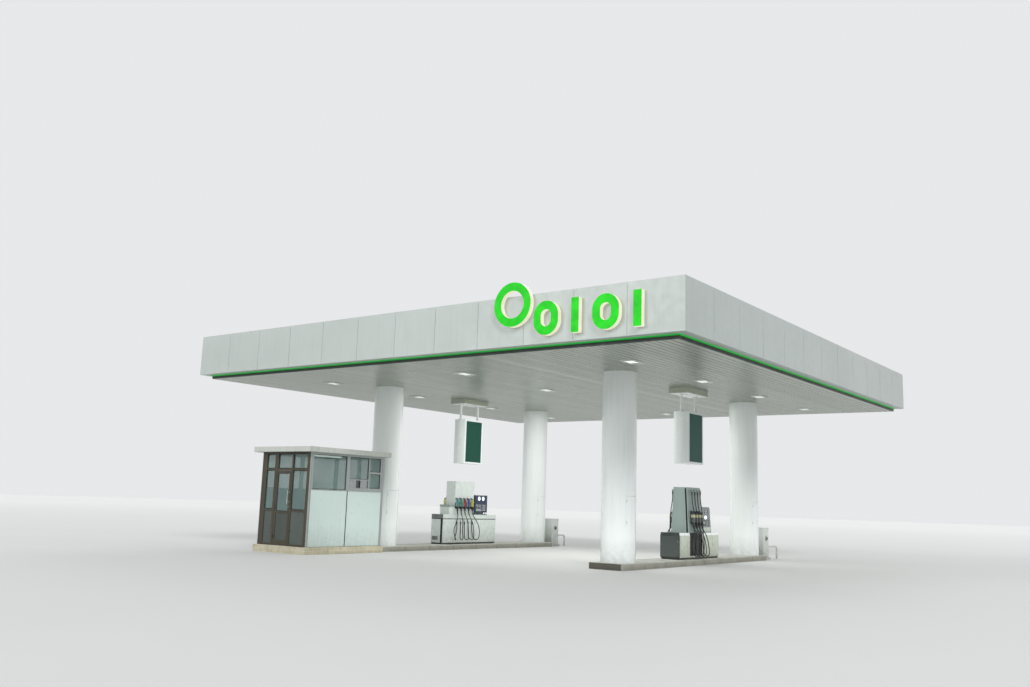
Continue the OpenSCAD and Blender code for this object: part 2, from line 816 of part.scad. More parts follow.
// Display head with a sloped back and two pockets on both faces
module pump_display_right() {
    color("dimgray") translate([col_x, towr_y + towr_l / 2 + 5, island_h + cabr_h]) difference() {
        rotate([90, 0, 90]) linear_extrude(height = headr_w, center = true)
            polygon([[0, 0], [headr_l, 0], [headr_l - 14, 90], [headr_l - 100, headr_h - 40],
                [headr_l - 150, headr_h], [40, headr_h], [0, headr_h - 40]]);
        for (s = [-1, 1]) {
            translate([s * headr_w / 2 - pocket_t, 60, 490]) cube([2 * pocket_t, headr_l - 240, 150]);
            translate([s * headr_w / 2 - pocket_t, 60, 180]) cube([2 * pocket_t, headr_l - 200, 160]);
        }
    }
}

// Nozzle on the face at u = 0: body, spout head and trigger guard, hung with its grip at v = 0
module nozzle() {
    u = nozzle_u;
    h = nozzle_h;
    color("black") rotate([90, 0, 0]) linear_extrude(height = nozzle_w, center = true) difference() {
        polygon([[u - 16, 0], [u + 16, 0], [u + 26, 60], [u + 34, h - 110], [u + 10, h - 25], [fit, h],
            [fit, h - 110], [16, h - 145], [16, 60], [u - 30, 30]]);
        polygon([[32, 80], [u - 22, 60], [u - 12, 150], [u - 20, h - 155], [32, h - 165]]);
    }
}

module pump_nozzles_left() { left_places(towl_w / 2) translate([0, 0, nozl_z]) nozzle(); }
module pump_nozzles_right() { right_places(holster_w / 2) translate([0, 0, nozr_z]) nozzle(); }

// Box on a low pad that joins it to its island, with a round cap on the right face
module service_boxes() {
    margin = 40;
    cap_d = 150;
    cap_t = 22;
    for (sx = [-1, 1])
        color("white") translate([sx * col_x, island_back, 0]) {
            translate([-box_w / 2 - margin, 0, 0])
                cube([box_w + 2 * margin, box_gap + box_l + margin, pad_h]);
            translate([0, box_gap + box_l / 2, 0]) {
                round_plate(box_w, box_l, box_h, pump_r);
                translate([box_w / 2 - eps, 0, 0.66 * box_h]) rotate([0, 90, 0])
                    cylinder(d = cap_d, h = cap_t + eps);
            }
        }
}

// Bent tube guards from the boxes down to the ground
module guard_hoops() {
    y0 = island_back + box_gap + box_l;
    top = guard_h - guard_d / 2;
    for (g = [[-col_x, guardl_l], [col_x, guardr_l]]) {
        y1 = y0 + g[1] - guard_d / 2;
        color("white") translate([g[0] + box_w / 2 - guard_d / 2, 0, 0]) {
            translate([0, y1, 0]) cylinder(d = guard_d, h = top - guard_r);
            translate([0, y0, top]) rotate([-90, 0, 0]) cylinder(d = guard_d, h = y1 - y0 - guard_r);
            translate([0, y1 - guard_r, top - guard_r]) rotate([90, 0, 90])
                rotate_extrude(angle = 90) translate([guard_r, 0]) circle(d = guard_d);
        }
    }
}

module kiosk_plinth() {
    color("tan") translate([kiosk_l0 - plinth_over, kiosk_y - plinth_over, 0])
        cube([kiosk_w + plinth_over + plinth_side, kiosk_l + 2 * plinth_over, plinth_h]);
}

// Frame of bars around openings given as left, foot, width and height
module frame(l, h, holes) {
    difference() {
        cube([l, wall_t, h]);
        for (o = holes) translate([o[0], -eps, o[1]]) cube([o[2], wall_t + 2 * eps, o[3]]);
    }
}

module kiosk_front_left() {
    w = left_l - corner_l - hinge_w;
    color("rosybrown") {
        translate([kiosk_l0, kiosk_y, floor_z])
            frame(left_l, wall_h, [[corner_l, bar_w, w, front_sill - bar_w],
                [corner_l, front_sill + bar_w, w, head_h - front_sill - bar_w],
                [corner_l, head_h + bar_w, w, wall_h - head_h - 2 * bar_w]]);
        for (z = hinge_zs)
            translate([leaf_x + leaf_gap / 2, kiosk_y - hinge_y, z]) {
                knuckle(-1);
                cylinder(r = pin_r, h = 2 * knuckle_h);
            }
    }
}

// Knuckle on its leaf plate, towards one side of the hinge axis
module knuckle(side) {
    cylinder(r = knuckle_r, h = knuckle_h);
    translate([side > 0 ? 0 : -45, hinge_y - 4, 0]) cube([45, 4, knuckle_h]);
}

module kiosk_front_right() {
    l = kiosk_r0 - door_x1;
    w = l - bar_w - corner_r;
    color("rosybrown") translate([door_x1, kiosk_y, floor_z])
        frame(l, head_h, [[bar_w, bar_w, w, front_sill - bar_w],
            [bar_w, front_sill + bar_w, w, head_h - front_sill - bar_w + eps]]);
}

// Openings of the light over the door and over the fixed leaf
function head_holes() = let (a = door_x1 - leaf_x, l = kiosk_r0 - leaf_x, h = wall_h - head_h - 2 * bar_w)
    [[bar_w, bar_w, a - bar_w, h], [a + bar_w, bar_w, l - a - bar_w - corner_r, h]];

module kiosk_front_head() {
    color("rosybrown") translate([leaf_x, kiosk_y, floor_z + head_h])
        frame(kiosk_r0 - leaf_x, wall_h - head_h, head_holes());
}

// Openings of a side wall: two windows above the sill
function side_holes(l) = [for (i = [0, 1]) [i ? (l + mullion_w) / 2 : bar_w, sill_h + bar_w,
    (l - mullion_w) / 2 - bar_w, wall_h - sill_h - 2 * bar_w]];

// Openings of the lane wall: its far bay has a pay window, a sash above it and a narrow casement
function lane_holes(l) = let (h = side_holes(l), a = h[1][0], w = h[1][2] - casement_w - sash_t,
    z = h[1][1] + track_h, top = wall_h - bar_w)
    [h[0], [a, z, w, pay_h], [a, z + pay_h + sash_t, w, top - z - pay_h - sash_t],
    [a + w + sash_t, z, casement_w, head_h - z],
    [a + w + sash_t, head_h + bar_w, casement_w, top - head_h - bar_w]];

module kiosk_wall_right() {
    color("silver") translate([kiosk_r0, kiosk_y + wall_t, floor_z]) rotate([0, 0, 90])
        frame(side_l, wall_h, lane_holes(side_l));
}

module kiosk_wall_left() {
    color("silver") translate([kiosk_l0 + wall_t, kiosk_y + wall_t, floor_z]) rotate([0, 0, 90])
        frame(side_l, wall_h, side_holes(side_l));
}

module kiosk_wall_back() {
    color("silver") translate([kiosk_l0, kiosk_back - wall_t, floor_z])
        frame(kiosk_w, wall_h, side_holes(kiosk_w));
}

// Two facing sheets below the sill, with an open seam between them
module facing(l) {
    for (i = [0, 1])
        translate([seam / 2 + i * l / 2, -side_t, 12]) cube([l / 2 - seam, side_t, sill_h + bar_w / 2]);
}

// Sheets of one thickness that fill the listed openings of a wall
module panes(holes, t) {
    for (o = holes) translate([o[0] + fit, (wall_t - t) / 2, o[1]]) cube([o[2] - 2 * fit, t, o[3] - fit]);
}

module kiosk_panels() {
    h = front_sill - bar_w;
    color("aliceblue") {
        translate([kiosk_l0, kiosk_y, floor_z])
            panes([[corner_l, bar_w, left_l - corner_l - hinge_w, h],
                [door_x1 - kiosk_l0 + bar_w, bar_w, kiosk_r0 - door_x1 - bar_w - corner_r, h]], infill_t);
        translate([kiosk_r0, kiosk_y + wall_t, floor_z]) rotate([0, 0, 90]) facing(side_l);
        translate([kiosk_l0, kiosk_back - wall_t, floor_z]) rotate([0, 0, -90]) facing(side_l);
        translate([kiosk_r0, kiosk_back, floor_z]) rotate([0, 0, 180]) facing(kiosk_w);
    }
}

module kiosk_glass() {
    lane = lane_holes(side_l);
    z = front_sill + bar_w;
    w = left_l - corner_l - hinge_w;
    color("lightcyan") {
        translate([kiosk_l0, kiosk_y, floor_z])
            panes([[corner_l, z, w, head_h - z],
                [corner_l, head_h + bar_w, w, wall_h - head_h - 2 * bar_w],
                [door_x1 - kiosk_l0 + bar_w, z, kiosk_r0 - door_x1 - bar_w - corner_r, head_h - z]], glass_t);
        translate([leaf_x, kiosk_y, floor_z + head_h]) panes(head_holes(), glass_t);
        translate([kiosk_r0, kiosk_y + wall_t, floor_z]) rotate([0, 0, 90])
            panes([lane[0], lane[2], lane[3], lane[4]], glass_t);
        translate([kiosk_l0 + wall_t, kiosk_y + wall_t, floor_z]) rotate([0, 0, 90])
            panes(side_holes(side_l), glass_t);
        translate([kiosk_l0, kiosk_back - wall_t, floor_z]) panes(side_holes(kiosk_w), glass_t);
    }
}

module kiosk_roof() {
    color("gainsboro") translate([kiosk_l0 - slab_over, kiosk_y - slab_over, floor_z + wall_h])
        cube([kiosk_w + 2 * slab_over, kiosk_l + slab_over + slab_back, slab_h]);
}

module kiosk_lamp() {
    lamp_l = 1200;
    batten = 60;
    color("white") translate([kiosk_x - batten, kiosk_y + (kiosk_l - lamp_l) / 2, floor_z + wall_h - batten])
        cube([2 * batten, lamp_l, batten]);
}

// Door leaf: a frame with a solid panel below and a window above
module door_leaf() {
    h = head_h - 2 * leaf_gap;
    w = leaf_w - 2 * door_rail;
    color("rosybrown") for (z = hinge_zs)
        translate([leaf_x + leaf_gap / 2, kiosk_y - hinge_y, z + knuckle_h + fit]) difference() {
            knuckle(1);
            translate([0, 0, -eps]) cylinder(r = pin_r + pin_gap, h = knuckle_h + 2 * eps);
        }
    color("rosybrown") translate([leaf_x + leaf_gap, kiosk_y, floor_z + leaf_gap]) difference() {
        cube([leaf_w, leaf_t, h]);
        translate([door_rail, -eps, front_sill]) cube([w, leaf_t + 2 * eps, h - front_sill - door_rail]);
        for (y = [-eps, leaf_t - 8])
            translate([door_rail, y, 2 * door_rail]) cube([w, 8 + eps, front_sill - 3 * door_rail]);
    }
}

module door_glass() {
    color("lightcyan") translate([leaf_x + leaf_gap + door_rail + fit, kiosk_y + (leaf_t - glass_t) / 2,
        floor_z + leaf_gap + front_sill])
        cube([leaf_w - 2 * door_rail - 2 * fit, glass_t,
            head_h - 2 * leaf_gap - front_sill - door_rail - fit]);
}

module door_handle() {
    color("silver") translate([leaf_x + leaf_gap + leaf_w - 35, kiosk_y, floor_z + 1100]) {
        translate([0, -60, 0]) cylinder(d = 24, h = 360);
        for (z = [50, 310]) translate([0, 0, z]) rotate([90, 0, 0]) cylinder(d = 14, h = 60);
    }
}

// Tube along points, as one closed skin
function tube_points(path, d, n) = [for (i = [0:len(path) - 1])
    let (a = path[max(i - 1, 0)], b = path[min(i + 1, len(path) - 1)], t = (b - a) / norm(b - a),
        u = [0, 1, 0], v = cross(t, u))
    for (k = [0:n - 1]) path[i] + d / 2 * (cos(k * 360 / n) * u + sin(k * 360 / n) * v)];

module tube(path, d, n = 8) {
    m = len(path);
    side = [for (i = [0:m - 2], k = [0:n - 1])
        [i * n + k, i * n + (k + 1) % n, (i + 1) * n + (k + 1) % n, (i + 1) * n + k]];
    polyhedron(points = tube_points(path, d, n),
        faces = concat([[for (k = [n - 1:-1:0]) k]], side, [[for (k = [0:n - 1]) (m - 1) * n + k]]));
}

// Smooth curve through hand-set points
function bend(p, i, t) = let (a = p[max(i - 1, 0)], b = p[i], c = p[i + 1], d = p[min(i + 2, len(p) - 1)])
    0.5 * (2 * b + (c - a) * t + (2 * a - 5 * b + 4 * c - d) * t * t + (3 * b - a - 3 * c + d) * t * t * t);
function smooth(p, steps) = concat([for (i = [0:len(p) - 2], s = [0:steps - 1]) bend(p, i, s / steps)],
    [p[len(p) - 1]]);

// Route of a low hose as out, along and up: down from its stub, round a loop and up to the nozzle
function low_route(lean) = let (n = nozzle_u - (pumpl_w - towl_w) / 2)
    [[stub_u, 0, -stub_v], [32, 0, -180], [32, 5, -290], [33, 15 + 0.1 * lean, -420],
    [34, 30 + 0.25 * lean, -550], [63, 38 + 0.38 * lean, -620], [133, 40 + 0.52 * lean, -649],
    [203, 34 + 0.68 * lean, -620], [232, 20 + 0.86 * lean, -550], [240, 8 + lean, -430],
    [232, 0.96 * lean, -290], [205, 0.7 * lean, -150], [150, 0.36 * lean, -20],
    [85, 0.1 * lean, 90], [45, 0, 170], [n, 0, nozl_z - 50], [n, 0, nozl_z - 20], [n, 0, nozl_z]];

// Route of a high hose: down past the nozzles, round a loop and up to its nozzle
function high_route(lean) = let (n = nozzle_u + (holster_w - pumpr_w) / 2, a = nozr_p / 2,
    x = high_x - pumpr_w / 2)
    [[x, a, high_v], [x, a, high_v - 40], [x, a, 1000], [-36, a, 900], [-20, a, 780],
    [4, a, 640], [24, a, 480], [36, a, 320], [42, a, 150],
    [44, a + 0.3 * lean, -20], [44, a + 0.8 * lean, -190], [44, a + 1.2 * lean, -360],
    [44, a + lean, -520], [73, 80 + 0.8 * lean, -590], [143, 70 + 0.6 * lean, -619],
    [213, 60 + 0.4 * lean, -590], [242, 50 + 0.2 * lean, -520], [240, 36, -380], [226, 20, -240],
    [190, 8, -100], [130, 0, 20], [80, 0, 90], [n, 0, nozr_z - 30], [n, 0, nozr_z - 12],
    [n, 0, nozr_z]];

module pump_hoses_left() {
    for (s = [0, 180], i = [0:4])
        translate([-col_x, nozl_y, island_h + cabl_h]) rotate([0, 0, s])
            translate([pumpl_w / 2, (i - 2) * nozl_p, 0])
                color("black") tube(smooth(low_route(leans_l[i]), 2), hose_d);
}

module pump_hoses_right() {
    for (s = [0, 180], i = [0:3])
        translate([col_x, nozr_y, island_h + cabr_h]) rotate([0, 0, s])
            translate([pumpr_w / 2, (i - 1.5) * nozr_p, 0])
                color("black") tube(smooth(high_route(leans_r[i]), 2), hose_d);
}

fascia_front();
fascia_right();
fascia_back();
fascia_left();
edge_bands();
light_strips();
ceiling_left();
ceiling_middle();
ceiling_right();
lamp_frames();
lamp_lenses();
roof_sheet();
main_beams();
cross_beams();
ceiling_rails();
column_posts();
column_front_left();
column_front_right();
column_back_left();
column_back_right();
column_hatches();
island_left();
island_right();
sign_mount_left();
sign_mount_right();
sign_box_left();
sign_box_right();
sign_faces();
fascia_sign();
pump_base_left();
pump_tower_left();
pump_display_left();
pump_nozzles_left();
pump_hoses_left();
pump_base_right();
pump_tower_right();
pump_display_right();
pump_nozzles_right();
pump_hoses_right();
service_boxes();
guard_hoops();
kiosk_plinth();
kiosk_front_left();
kiosk_front_right();
kiosk_front_head();
kiosk_wall_right();
kiosk_wall_back();
kiosk_wall_left();
kiosk_panels();
kiosk_glass();
kiosk_roof();
kiosk_lamp();
door_leaf();
door_glass();
door_handle();
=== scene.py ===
import json
import math

import bmesh
import bpy
from mathutils import Matrix, Vector


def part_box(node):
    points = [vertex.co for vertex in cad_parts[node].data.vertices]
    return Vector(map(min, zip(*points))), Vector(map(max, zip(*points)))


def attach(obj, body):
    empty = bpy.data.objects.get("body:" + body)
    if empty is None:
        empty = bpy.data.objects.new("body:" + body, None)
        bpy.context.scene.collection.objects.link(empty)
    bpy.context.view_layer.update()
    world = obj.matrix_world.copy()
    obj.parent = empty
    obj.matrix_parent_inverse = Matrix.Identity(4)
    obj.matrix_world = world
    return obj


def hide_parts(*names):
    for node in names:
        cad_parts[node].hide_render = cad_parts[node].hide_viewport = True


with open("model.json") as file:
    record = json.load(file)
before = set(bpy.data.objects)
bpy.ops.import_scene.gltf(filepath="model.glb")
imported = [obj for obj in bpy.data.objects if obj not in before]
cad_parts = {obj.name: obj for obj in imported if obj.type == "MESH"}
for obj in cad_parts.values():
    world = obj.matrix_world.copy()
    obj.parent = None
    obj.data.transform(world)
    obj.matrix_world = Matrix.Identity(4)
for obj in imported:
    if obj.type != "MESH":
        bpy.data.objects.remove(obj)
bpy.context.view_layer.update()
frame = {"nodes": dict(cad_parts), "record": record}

# Places shared by materials and pieces, in metres
PUMP_X = 4.0  # axis of each island, left and right of the middle
COLUMN_Y, COLUMN_R = 3.8, 0.43
ROOF_HALF, ROOF_TOP = 7.8, 6.01
SERVICE_Y = 4.77  # middle of the service boxes
KIOSK_X, KIOSK_Y = (-5.28, -3.34), (-7.28, -4.55)
KIOSK_FLOOR, KIOSK_HEAD = 0.185, 2.67
SILL = 1.487  # from the kiosk's floor to the sill of its side walls


def add(name, data):
    """Puts a new object with the data into the scene."""
    obj = bpy.data.objects.new(name, data)
    bpy.context.scene.collection.objects.link(obj)
    return obj


# Camera, at the photograph's place and angle

PHOTO_FOCAL, PHOTO_WIDTH, SENSOR = 940.70, 1030, 36
CAMERA_AT = (15.9534, -24.098, 1.5007)
CAMERA_TURN = (-0.64549, 0.16776, 0.03157)


def make_camera():
    yaw, pitch, roll = CAMERA_TURN
    ahead = Vector((math.sin(yaw) * math.cos(pitch), math.cos(yaw) * math.cos(pitch), math.sin(pitch)))
    side = Vector((math.cos(yaw), -math.sin(yaw), 0))
    up = side.cross(ahead)
    x = side * math.cos(roll) + up * math.sin(roll)
    y = up * math.cos(roll) - side * math.sin(roll)
    data = bpy.data.cameras.new("camera")
    data.sensor_fit = "HORIZONTAL"
    data.sensor_width = SENSOR
    data.lens = PHOTO_FOCAL / PHOTO_WIDTH * SENSOR
    data.clip_end = 1000
    cam = add("camera", data)
    rows = [(x[i], y[i], -ahead[i], CAMERA_AT[i]) for i in range(3)]
    cam.matrix_world = Matrix(rows + [(0, 0, 0, 1)])
    bpy.context.scene.camera = cam


# Materials

def rgb(text):
    """Linear colour of a hexadecimal one."""
    parts = [int(text[i:i + 2], 16) / 255 for i in (0, 2, 4)]
    return tuple(c / 12.92 if c <= 0.04045 else ((c + 0.055) / 1.055) ** 2.4 for c in parts) + (1.0,)


def times(colour, f):
    """A colour made lighter or darker."""
    return tuple(min(1.0, c * f) for c in colour[:3]) + (1.0,)


class Mat:
    """A node material: colour, roughness and relief are built from layers in object space."""

    def __init__(self, name, rough=0.5, metal=0.0, **sockets):
        self.m = bpy.data.materials.new(name)
        self.m.use_nodes = True
        self.t = self.m.node_tree
        self.b = self.t.nodes["Principled BSDF"]
        self.b.inputs["Roughness"].default_value = rough
        self.b.inputs["Metallic"].default_value = metal
        for key, value in sockets.items():
            self.b.inputs[key.replace("_", " ")].default_value = value
        coord = self.node("TexCoord")
        self.xyz = coord.outputs["Object"]
        self.normal = coord.outputs["Normal"]
        self.relief = None

    def put(self, socket, value):
        if isinstance(value, bpy.types.NodeSocket):
            self.t.links.new(value, socket)
        else:
            socket.default_value = value

    def node(self, kind, inputs=None, **attrs):
        n = self.t.nodes.new("ShaderNode" + kind)
        for key, value in attrs.items():
            setattr(n, key, value)
        for key, value in (inputs or {}).items():
            self.put(n.inputs[key], value)
        return n

    def axis(self, i, of=None):
        return self.node("SeparateXYZ", {0: of or self.xyz}).outputs[i]

    def calc(self, op, a, b=0.0, c=0.0):
        return self.node("Math", {0: a, 1: b, 2: c}, operation=op).outputs[0]

    def remap(self, v, a, b, c=0.0, d=1.0):
        return self.node("MapRange", {0: v, 1: a, 2: b, 3: c, 4: d}).outputs[0]

    def noise(self, scale, stretch=(1, 1, 1), detail=3.0, rough=0.5):
        at = self.node("Mapping", {"Vector": self.xyz, "Scale": stretch}).outputs[0]
        return self.node("TexNoise", {"Vector": at, "Scale": scale, "Detail": detail,
                                      "Roughness": rough}).outputs[0]

    def mix(self, fac, a, b, kind="MIX"):
        n = self.node("Mix", data_type="RGBA", blend_type=kind)
        self.put(n.inputs[0], fac)
        self.put(n.inputs[6], a)
        self.put(n.inputs[7], b)
        return n.outputs[2]

    def spread(self, colour, scale, amount, stretch=(1, 1, 1)):
        """A colour that drifts lighter and darker over the surface."""
        f = self.remap(self.noise(scale, stretch), 0.3, 0.7)
        return self.mix(f, times(colour, 1 - amount), times(colour, 1 + amount))

    def streaks(self, colour, amount, tint, scale=3.0, stretch=(5, 5, 0.22)):
        """Faint runs of dirt down a wall."""
        f = self.remap(self.noise(scale, stretch, 4.0, 0.6), 0.5, 0.78, 0.0, amount)
        return self.mix(f, colour, tint)

    def foot(self, colour, z0, z1, amount, tint):
        """Splashed dirt that fades out between two heights."""
        near = self.remap(self.axis(2), z0, z1, 1.0, 0.0)
        f = self.calc("MULTIPLY", self.calc("MULTIPLY", near, self.noise(9.0, detail=5.0)), amount)
        return self.mix(f, colour, tint)

    def rough(self, lo, hi, scale=6.0, stretch=(1, 1, 1)):
        self.put(self.b.inputs["Roughness"], self.remap(self.noise(scale, stretch, 4.0), 0.3, 0.7, lo, hi))

    def bump(self, height, depth):
        ins = {"Height": height, "Distance": depth, "Strength": 1.0}
        if self.relief:
            ins["Normal"] = self.relief
        self.relief = self.node("Bump", ins).outputs[0]
        self.put(self.b.inputs["Normal"], self.relief)

    def colour(self, value):
        self.put(self.b.inputs["Base Color"], value)
        return self

    def glow(self, colour, strength):
        self.put(self.b.inputs["Emission Color"], colour)
        self.b.inputs["Emission Strength"].default_value = strength
        return self

    def between(self, v, lo, hi):
        """1 where a value lies between two others, else 0."""
        return self.calc("COMPARE", v, (lo + hi) / 2, (hi - lo) / 2)

    def both(self, *masks):
        out = masks[0]
        for k in masks[1:]:
            out = self.calc("MULTIPLY", out, k)
        return out

    def base(self):
        """What the base colour is now."""
        return self.b.inputs["Base Color"].links[0].from_socket

    def lines(self, v, pitch, start, width):
        """1 on thin lines at a pitch along a coordinate, else 0."""
        f = self.calc("FRACT", self.calc("DIVIDE", self.calc("SUBTRACT", v, start), pitch))
        return self.calc("LESS_THAN", self.calc("ABSOLUTE", self.calc("SUBTRACT", f, 0.5)), width / pitch / 2)


def painted(name, hexa, lo=0.3, hi=0.5, metal=0.0, tone=0.04, streak=0.15, dirt=0.0, grain=90.0,
            relief=0.0004, tint="6b6a60", **sockets):
    """Paint or powder coat on sheet: soft colour drift, runs, splash at the foot, orange peel."""
    s = Mat(name, metal=metal, **sockets)
    c = s.spread(rgb(hexa), 0.7, tone)
    if streak:
        c = s.streaks(c, streak, rgb(tint))
    if dirt:
        c = s.foot(c, 0.15, 0.75, dirt, rgb(tint))
    s.colour(c)
    s.rough(lo, hi)
    s.bump(s.noise(grain, detail=2.0), relief)
    return s


def roof_materials(m):
    # Fascia: metal sheet with a soft oil-can wave in each panel
    s = painted("fascia sheet", "b4bbb7", 0.36, 0.5, metal=0.2, tone=0.035, streak=0.1, relief=0.0002)
    s.bump(s.noise(0.45, (1, 1, 1), 1.0), 0.003)
    m["fascia"] = s
    m["band"] = painted("band paint", "12231b", 0.3, 0.45, streak=0.0)
    # Light line: green diffuser with twelve brighter dots of light to the metre
    s = Mat("light line", rough=0.35)
    dots = s.calc("FRACT", s.calc("MULTIPLY", s.calc("ADD", s.axis(0), s.axis(1)), 12.0))
    fine = s.remap(s.calc("ABSOLUTE", s.calc("SUBTRACT", dots, 0.5)), 0.0, 0.5, 1.0, 0.55)
    s.colour(rgb("0b6a22"))
    s.glow(s.mix(fine, rgb("03681a"), rgb("14b838")), 0.75)
    m["light_strip"] = s
    # Ceiling: long metal boards, each a shade apart, brushed along their length, with dark joints
    edge, pitch, joint_z = 7.508, 0.1726, 4.8035
    s = Mat("ceiling board", metal=0.55)
    board = s.calc("FLOOR", s.calc("DIVIDE", s.calc("ADD", s.axis(0), edge), pitch))
    shade = s.node("TexWhiteNoise", {"W": board}, noise_dimensions="1D").outputs[0]
    c = s.mix(shade, rgb("9ba297"), rgb("aab1a6"))
    c = s.mix(s.remap(s.noise(2.5, (8, 0.3, 8), 3.0), 0.4, 0.8, 0.0, 0.2), c, rgb("858c80"))
    c = s.mix(s.calc("GREATER_THAN", s.axis(2), joint_z), c, rgb("50564d"))
    s.colour(c)
    s.rough(0.26, 0.36, 3.0, (20, 0.4, 20))
    s.bump(s.noise(30.0, (12, 0.3, 12), 2.0), 0.0001)
    s.bump(s.noise(0.6, (2, 0.5, 2), 0.0), 0.0015)
    m["ceiling"] = s
    m["lamp_frame"] = painted("lamp frame paint", "dde0dc", 0.3, 0.45, streak=0.0)
    s = Mat("lamp lens", rough=0.3)
    cells = s.node("TexVoronoi", {"Vector": s.xyz, "Scale": 70.0}).outputs[0]
    s.colour(rgb("e9eeea"))
    s.glow(s.mix(s.remap(cells, 0.0, 0.8), rgb("ffffff"), rgb("dcefe2")), 1.0)
    s.bump(cells, 0.001)
    m["lamp_lens"] = s
    # Roof sheet and steel frame: zinc with its spangle
    for key, name, hexa, lo in (("roof_sheet", "roof zinc", "9aa0a2", 0.5),
                                ("frame_steel", "frame zinc", "858c90", 0.4)):
        s = Mat(name, metal=0.7)
        v = s.node("TexVoronoi", {"Vector": s.xyz, "Scale": 26.0}).outputs["Color"]
        c = s.mix(s.remap(s.axis(0, v), 0.0, 1.0, 0.0, 0.5), times(rgb(hexa), 0.86), times(rgb(hexa), 1.1))
        s.colour(s.streaks(c, 0.3, rgb("7b7d78"), 1.6, (1, 1, 1)))
        s.rough(lo, lo + 0.15)
        s.bump(s.noise(60.0), 0.0004)
        m[key] = s


def island_materials(m):
    # Columns: gloss white cladding
    m["cladding"] = painted("column enamel", "e7ecea", 0.1, 0.22, tone=0.02, streak=0.1, dirt=0.5, grain=14.0,
                            relief=0.0012, Coat_Weight=0.5, Coat_Roughness=0.08)
    m["box_white"] = painted("box enamel", "ccd1cc", 0.25, 0.42, streak=0.25, dirt=0.9)
    # Islands: precast concrete, paler on upward faces with worn patches there, darker on the side faces, a
    # joint every 1.1 m
    s = Mat("island concrete")
    up = s.remap(s.axis(2, s.normal), 0.4, 0.9)
    top = s.spread(rgb("bfc1b8"), 1.6, 0.1)
    face = s.spread(rgb("8f8e83"), 2.4, 0.14)
    c = s.mix(up, face, top)
    c = s.mix(s.remap(s.noise(22.0, detail=6.0, rough=0.7), 0.42, 0.7, 0.0, 0.5), c, rgb("76756b"))
    worn = s.calc("MULTIPLY", s.remap(s.noise(0.9, detail=5.0), 0.52, 0.7, 0.0, 0.55), up)
    c = s.mix(worn, c, rgb("6f6c60"))
    joint = s.lines(s.axis(1), 1.1, 0.55, 0.012)
    c = s.mix(joint, c, rgb("4d4b44"))
    s.colour(c)
    s.rough(0.7, 0.92)
    s.bump(s.noise(55.0, detail=6.0, rough=0.7), 0.003)
    s.bump(s.calc("SUBTRACT", 1.0, joint), 0.006)
    m["island_concrete"] = s


def sign_materials(m):
    m["sign_white"] = painted("light box enamel", "dfe5e3", 0.15, 0.3, streak=0.12, Coat_Weight=0.3)
    # Mounts: white tubes under a box in the ceiling's colour
    box_z = 4.651
    s = painted("mount paint", "dbe0dd", 0.25, 0.4, streak=0.08)
    s.colour(s.mix(s.calc("GREATER_THAN", s.axis(2), box_z), s.base(), s.spread(rgb("a9af9f"), 1.2, 0.05)))
    m["mount"] = s
    # Faces of the light boxes: faintly lit sheet, the right one a paler green
    s = Mat("sign face", rough=0.45, Specular_IOR_Level=0.25)
    right = s.calc("GREATER_THAN", s.axis(0), 0.0)
    c = s.mix(right, rgb("114537"), rgb("214d45"))
    c = s.mix(s.remap(s.noise(1.4, detail=3.0), 0.3, 0.7, 0.0, 0.25), c, rgb("0b3529"))
    s.colour(c)
    s.glow(c, 0.12)
    s.bump(s.noise(3.0, detail=1.0), 0.002)
    m["sign_green"] = s
    # Lit sign: green front and warm white sides, nearly black unlit
    s = Mat("lit sign", rough=0.4, Specular_IOR_Level=0.2)
    front = s.calc("LESS_THAN", s.axis(1, s.normal), -0.5)
    cells = s.remap(s.noise(5.0, detail=2.0), 0.3, 0.7)
    green = s.mix(cells, rgb("06c80a"), rgb("1ae612"))
    side = s.mix(cells, rgb("f2eccb"), rgb("fffbe4"))
    c = s.mix(front, side, green)
    s.colour(s.mix(0.75, c, rgb("101010")))
    s.glow(c, 0.72)
    s.bump(s.noise(20.0, detail=1.0), 0.0005)
    m["emblem_green"] = s


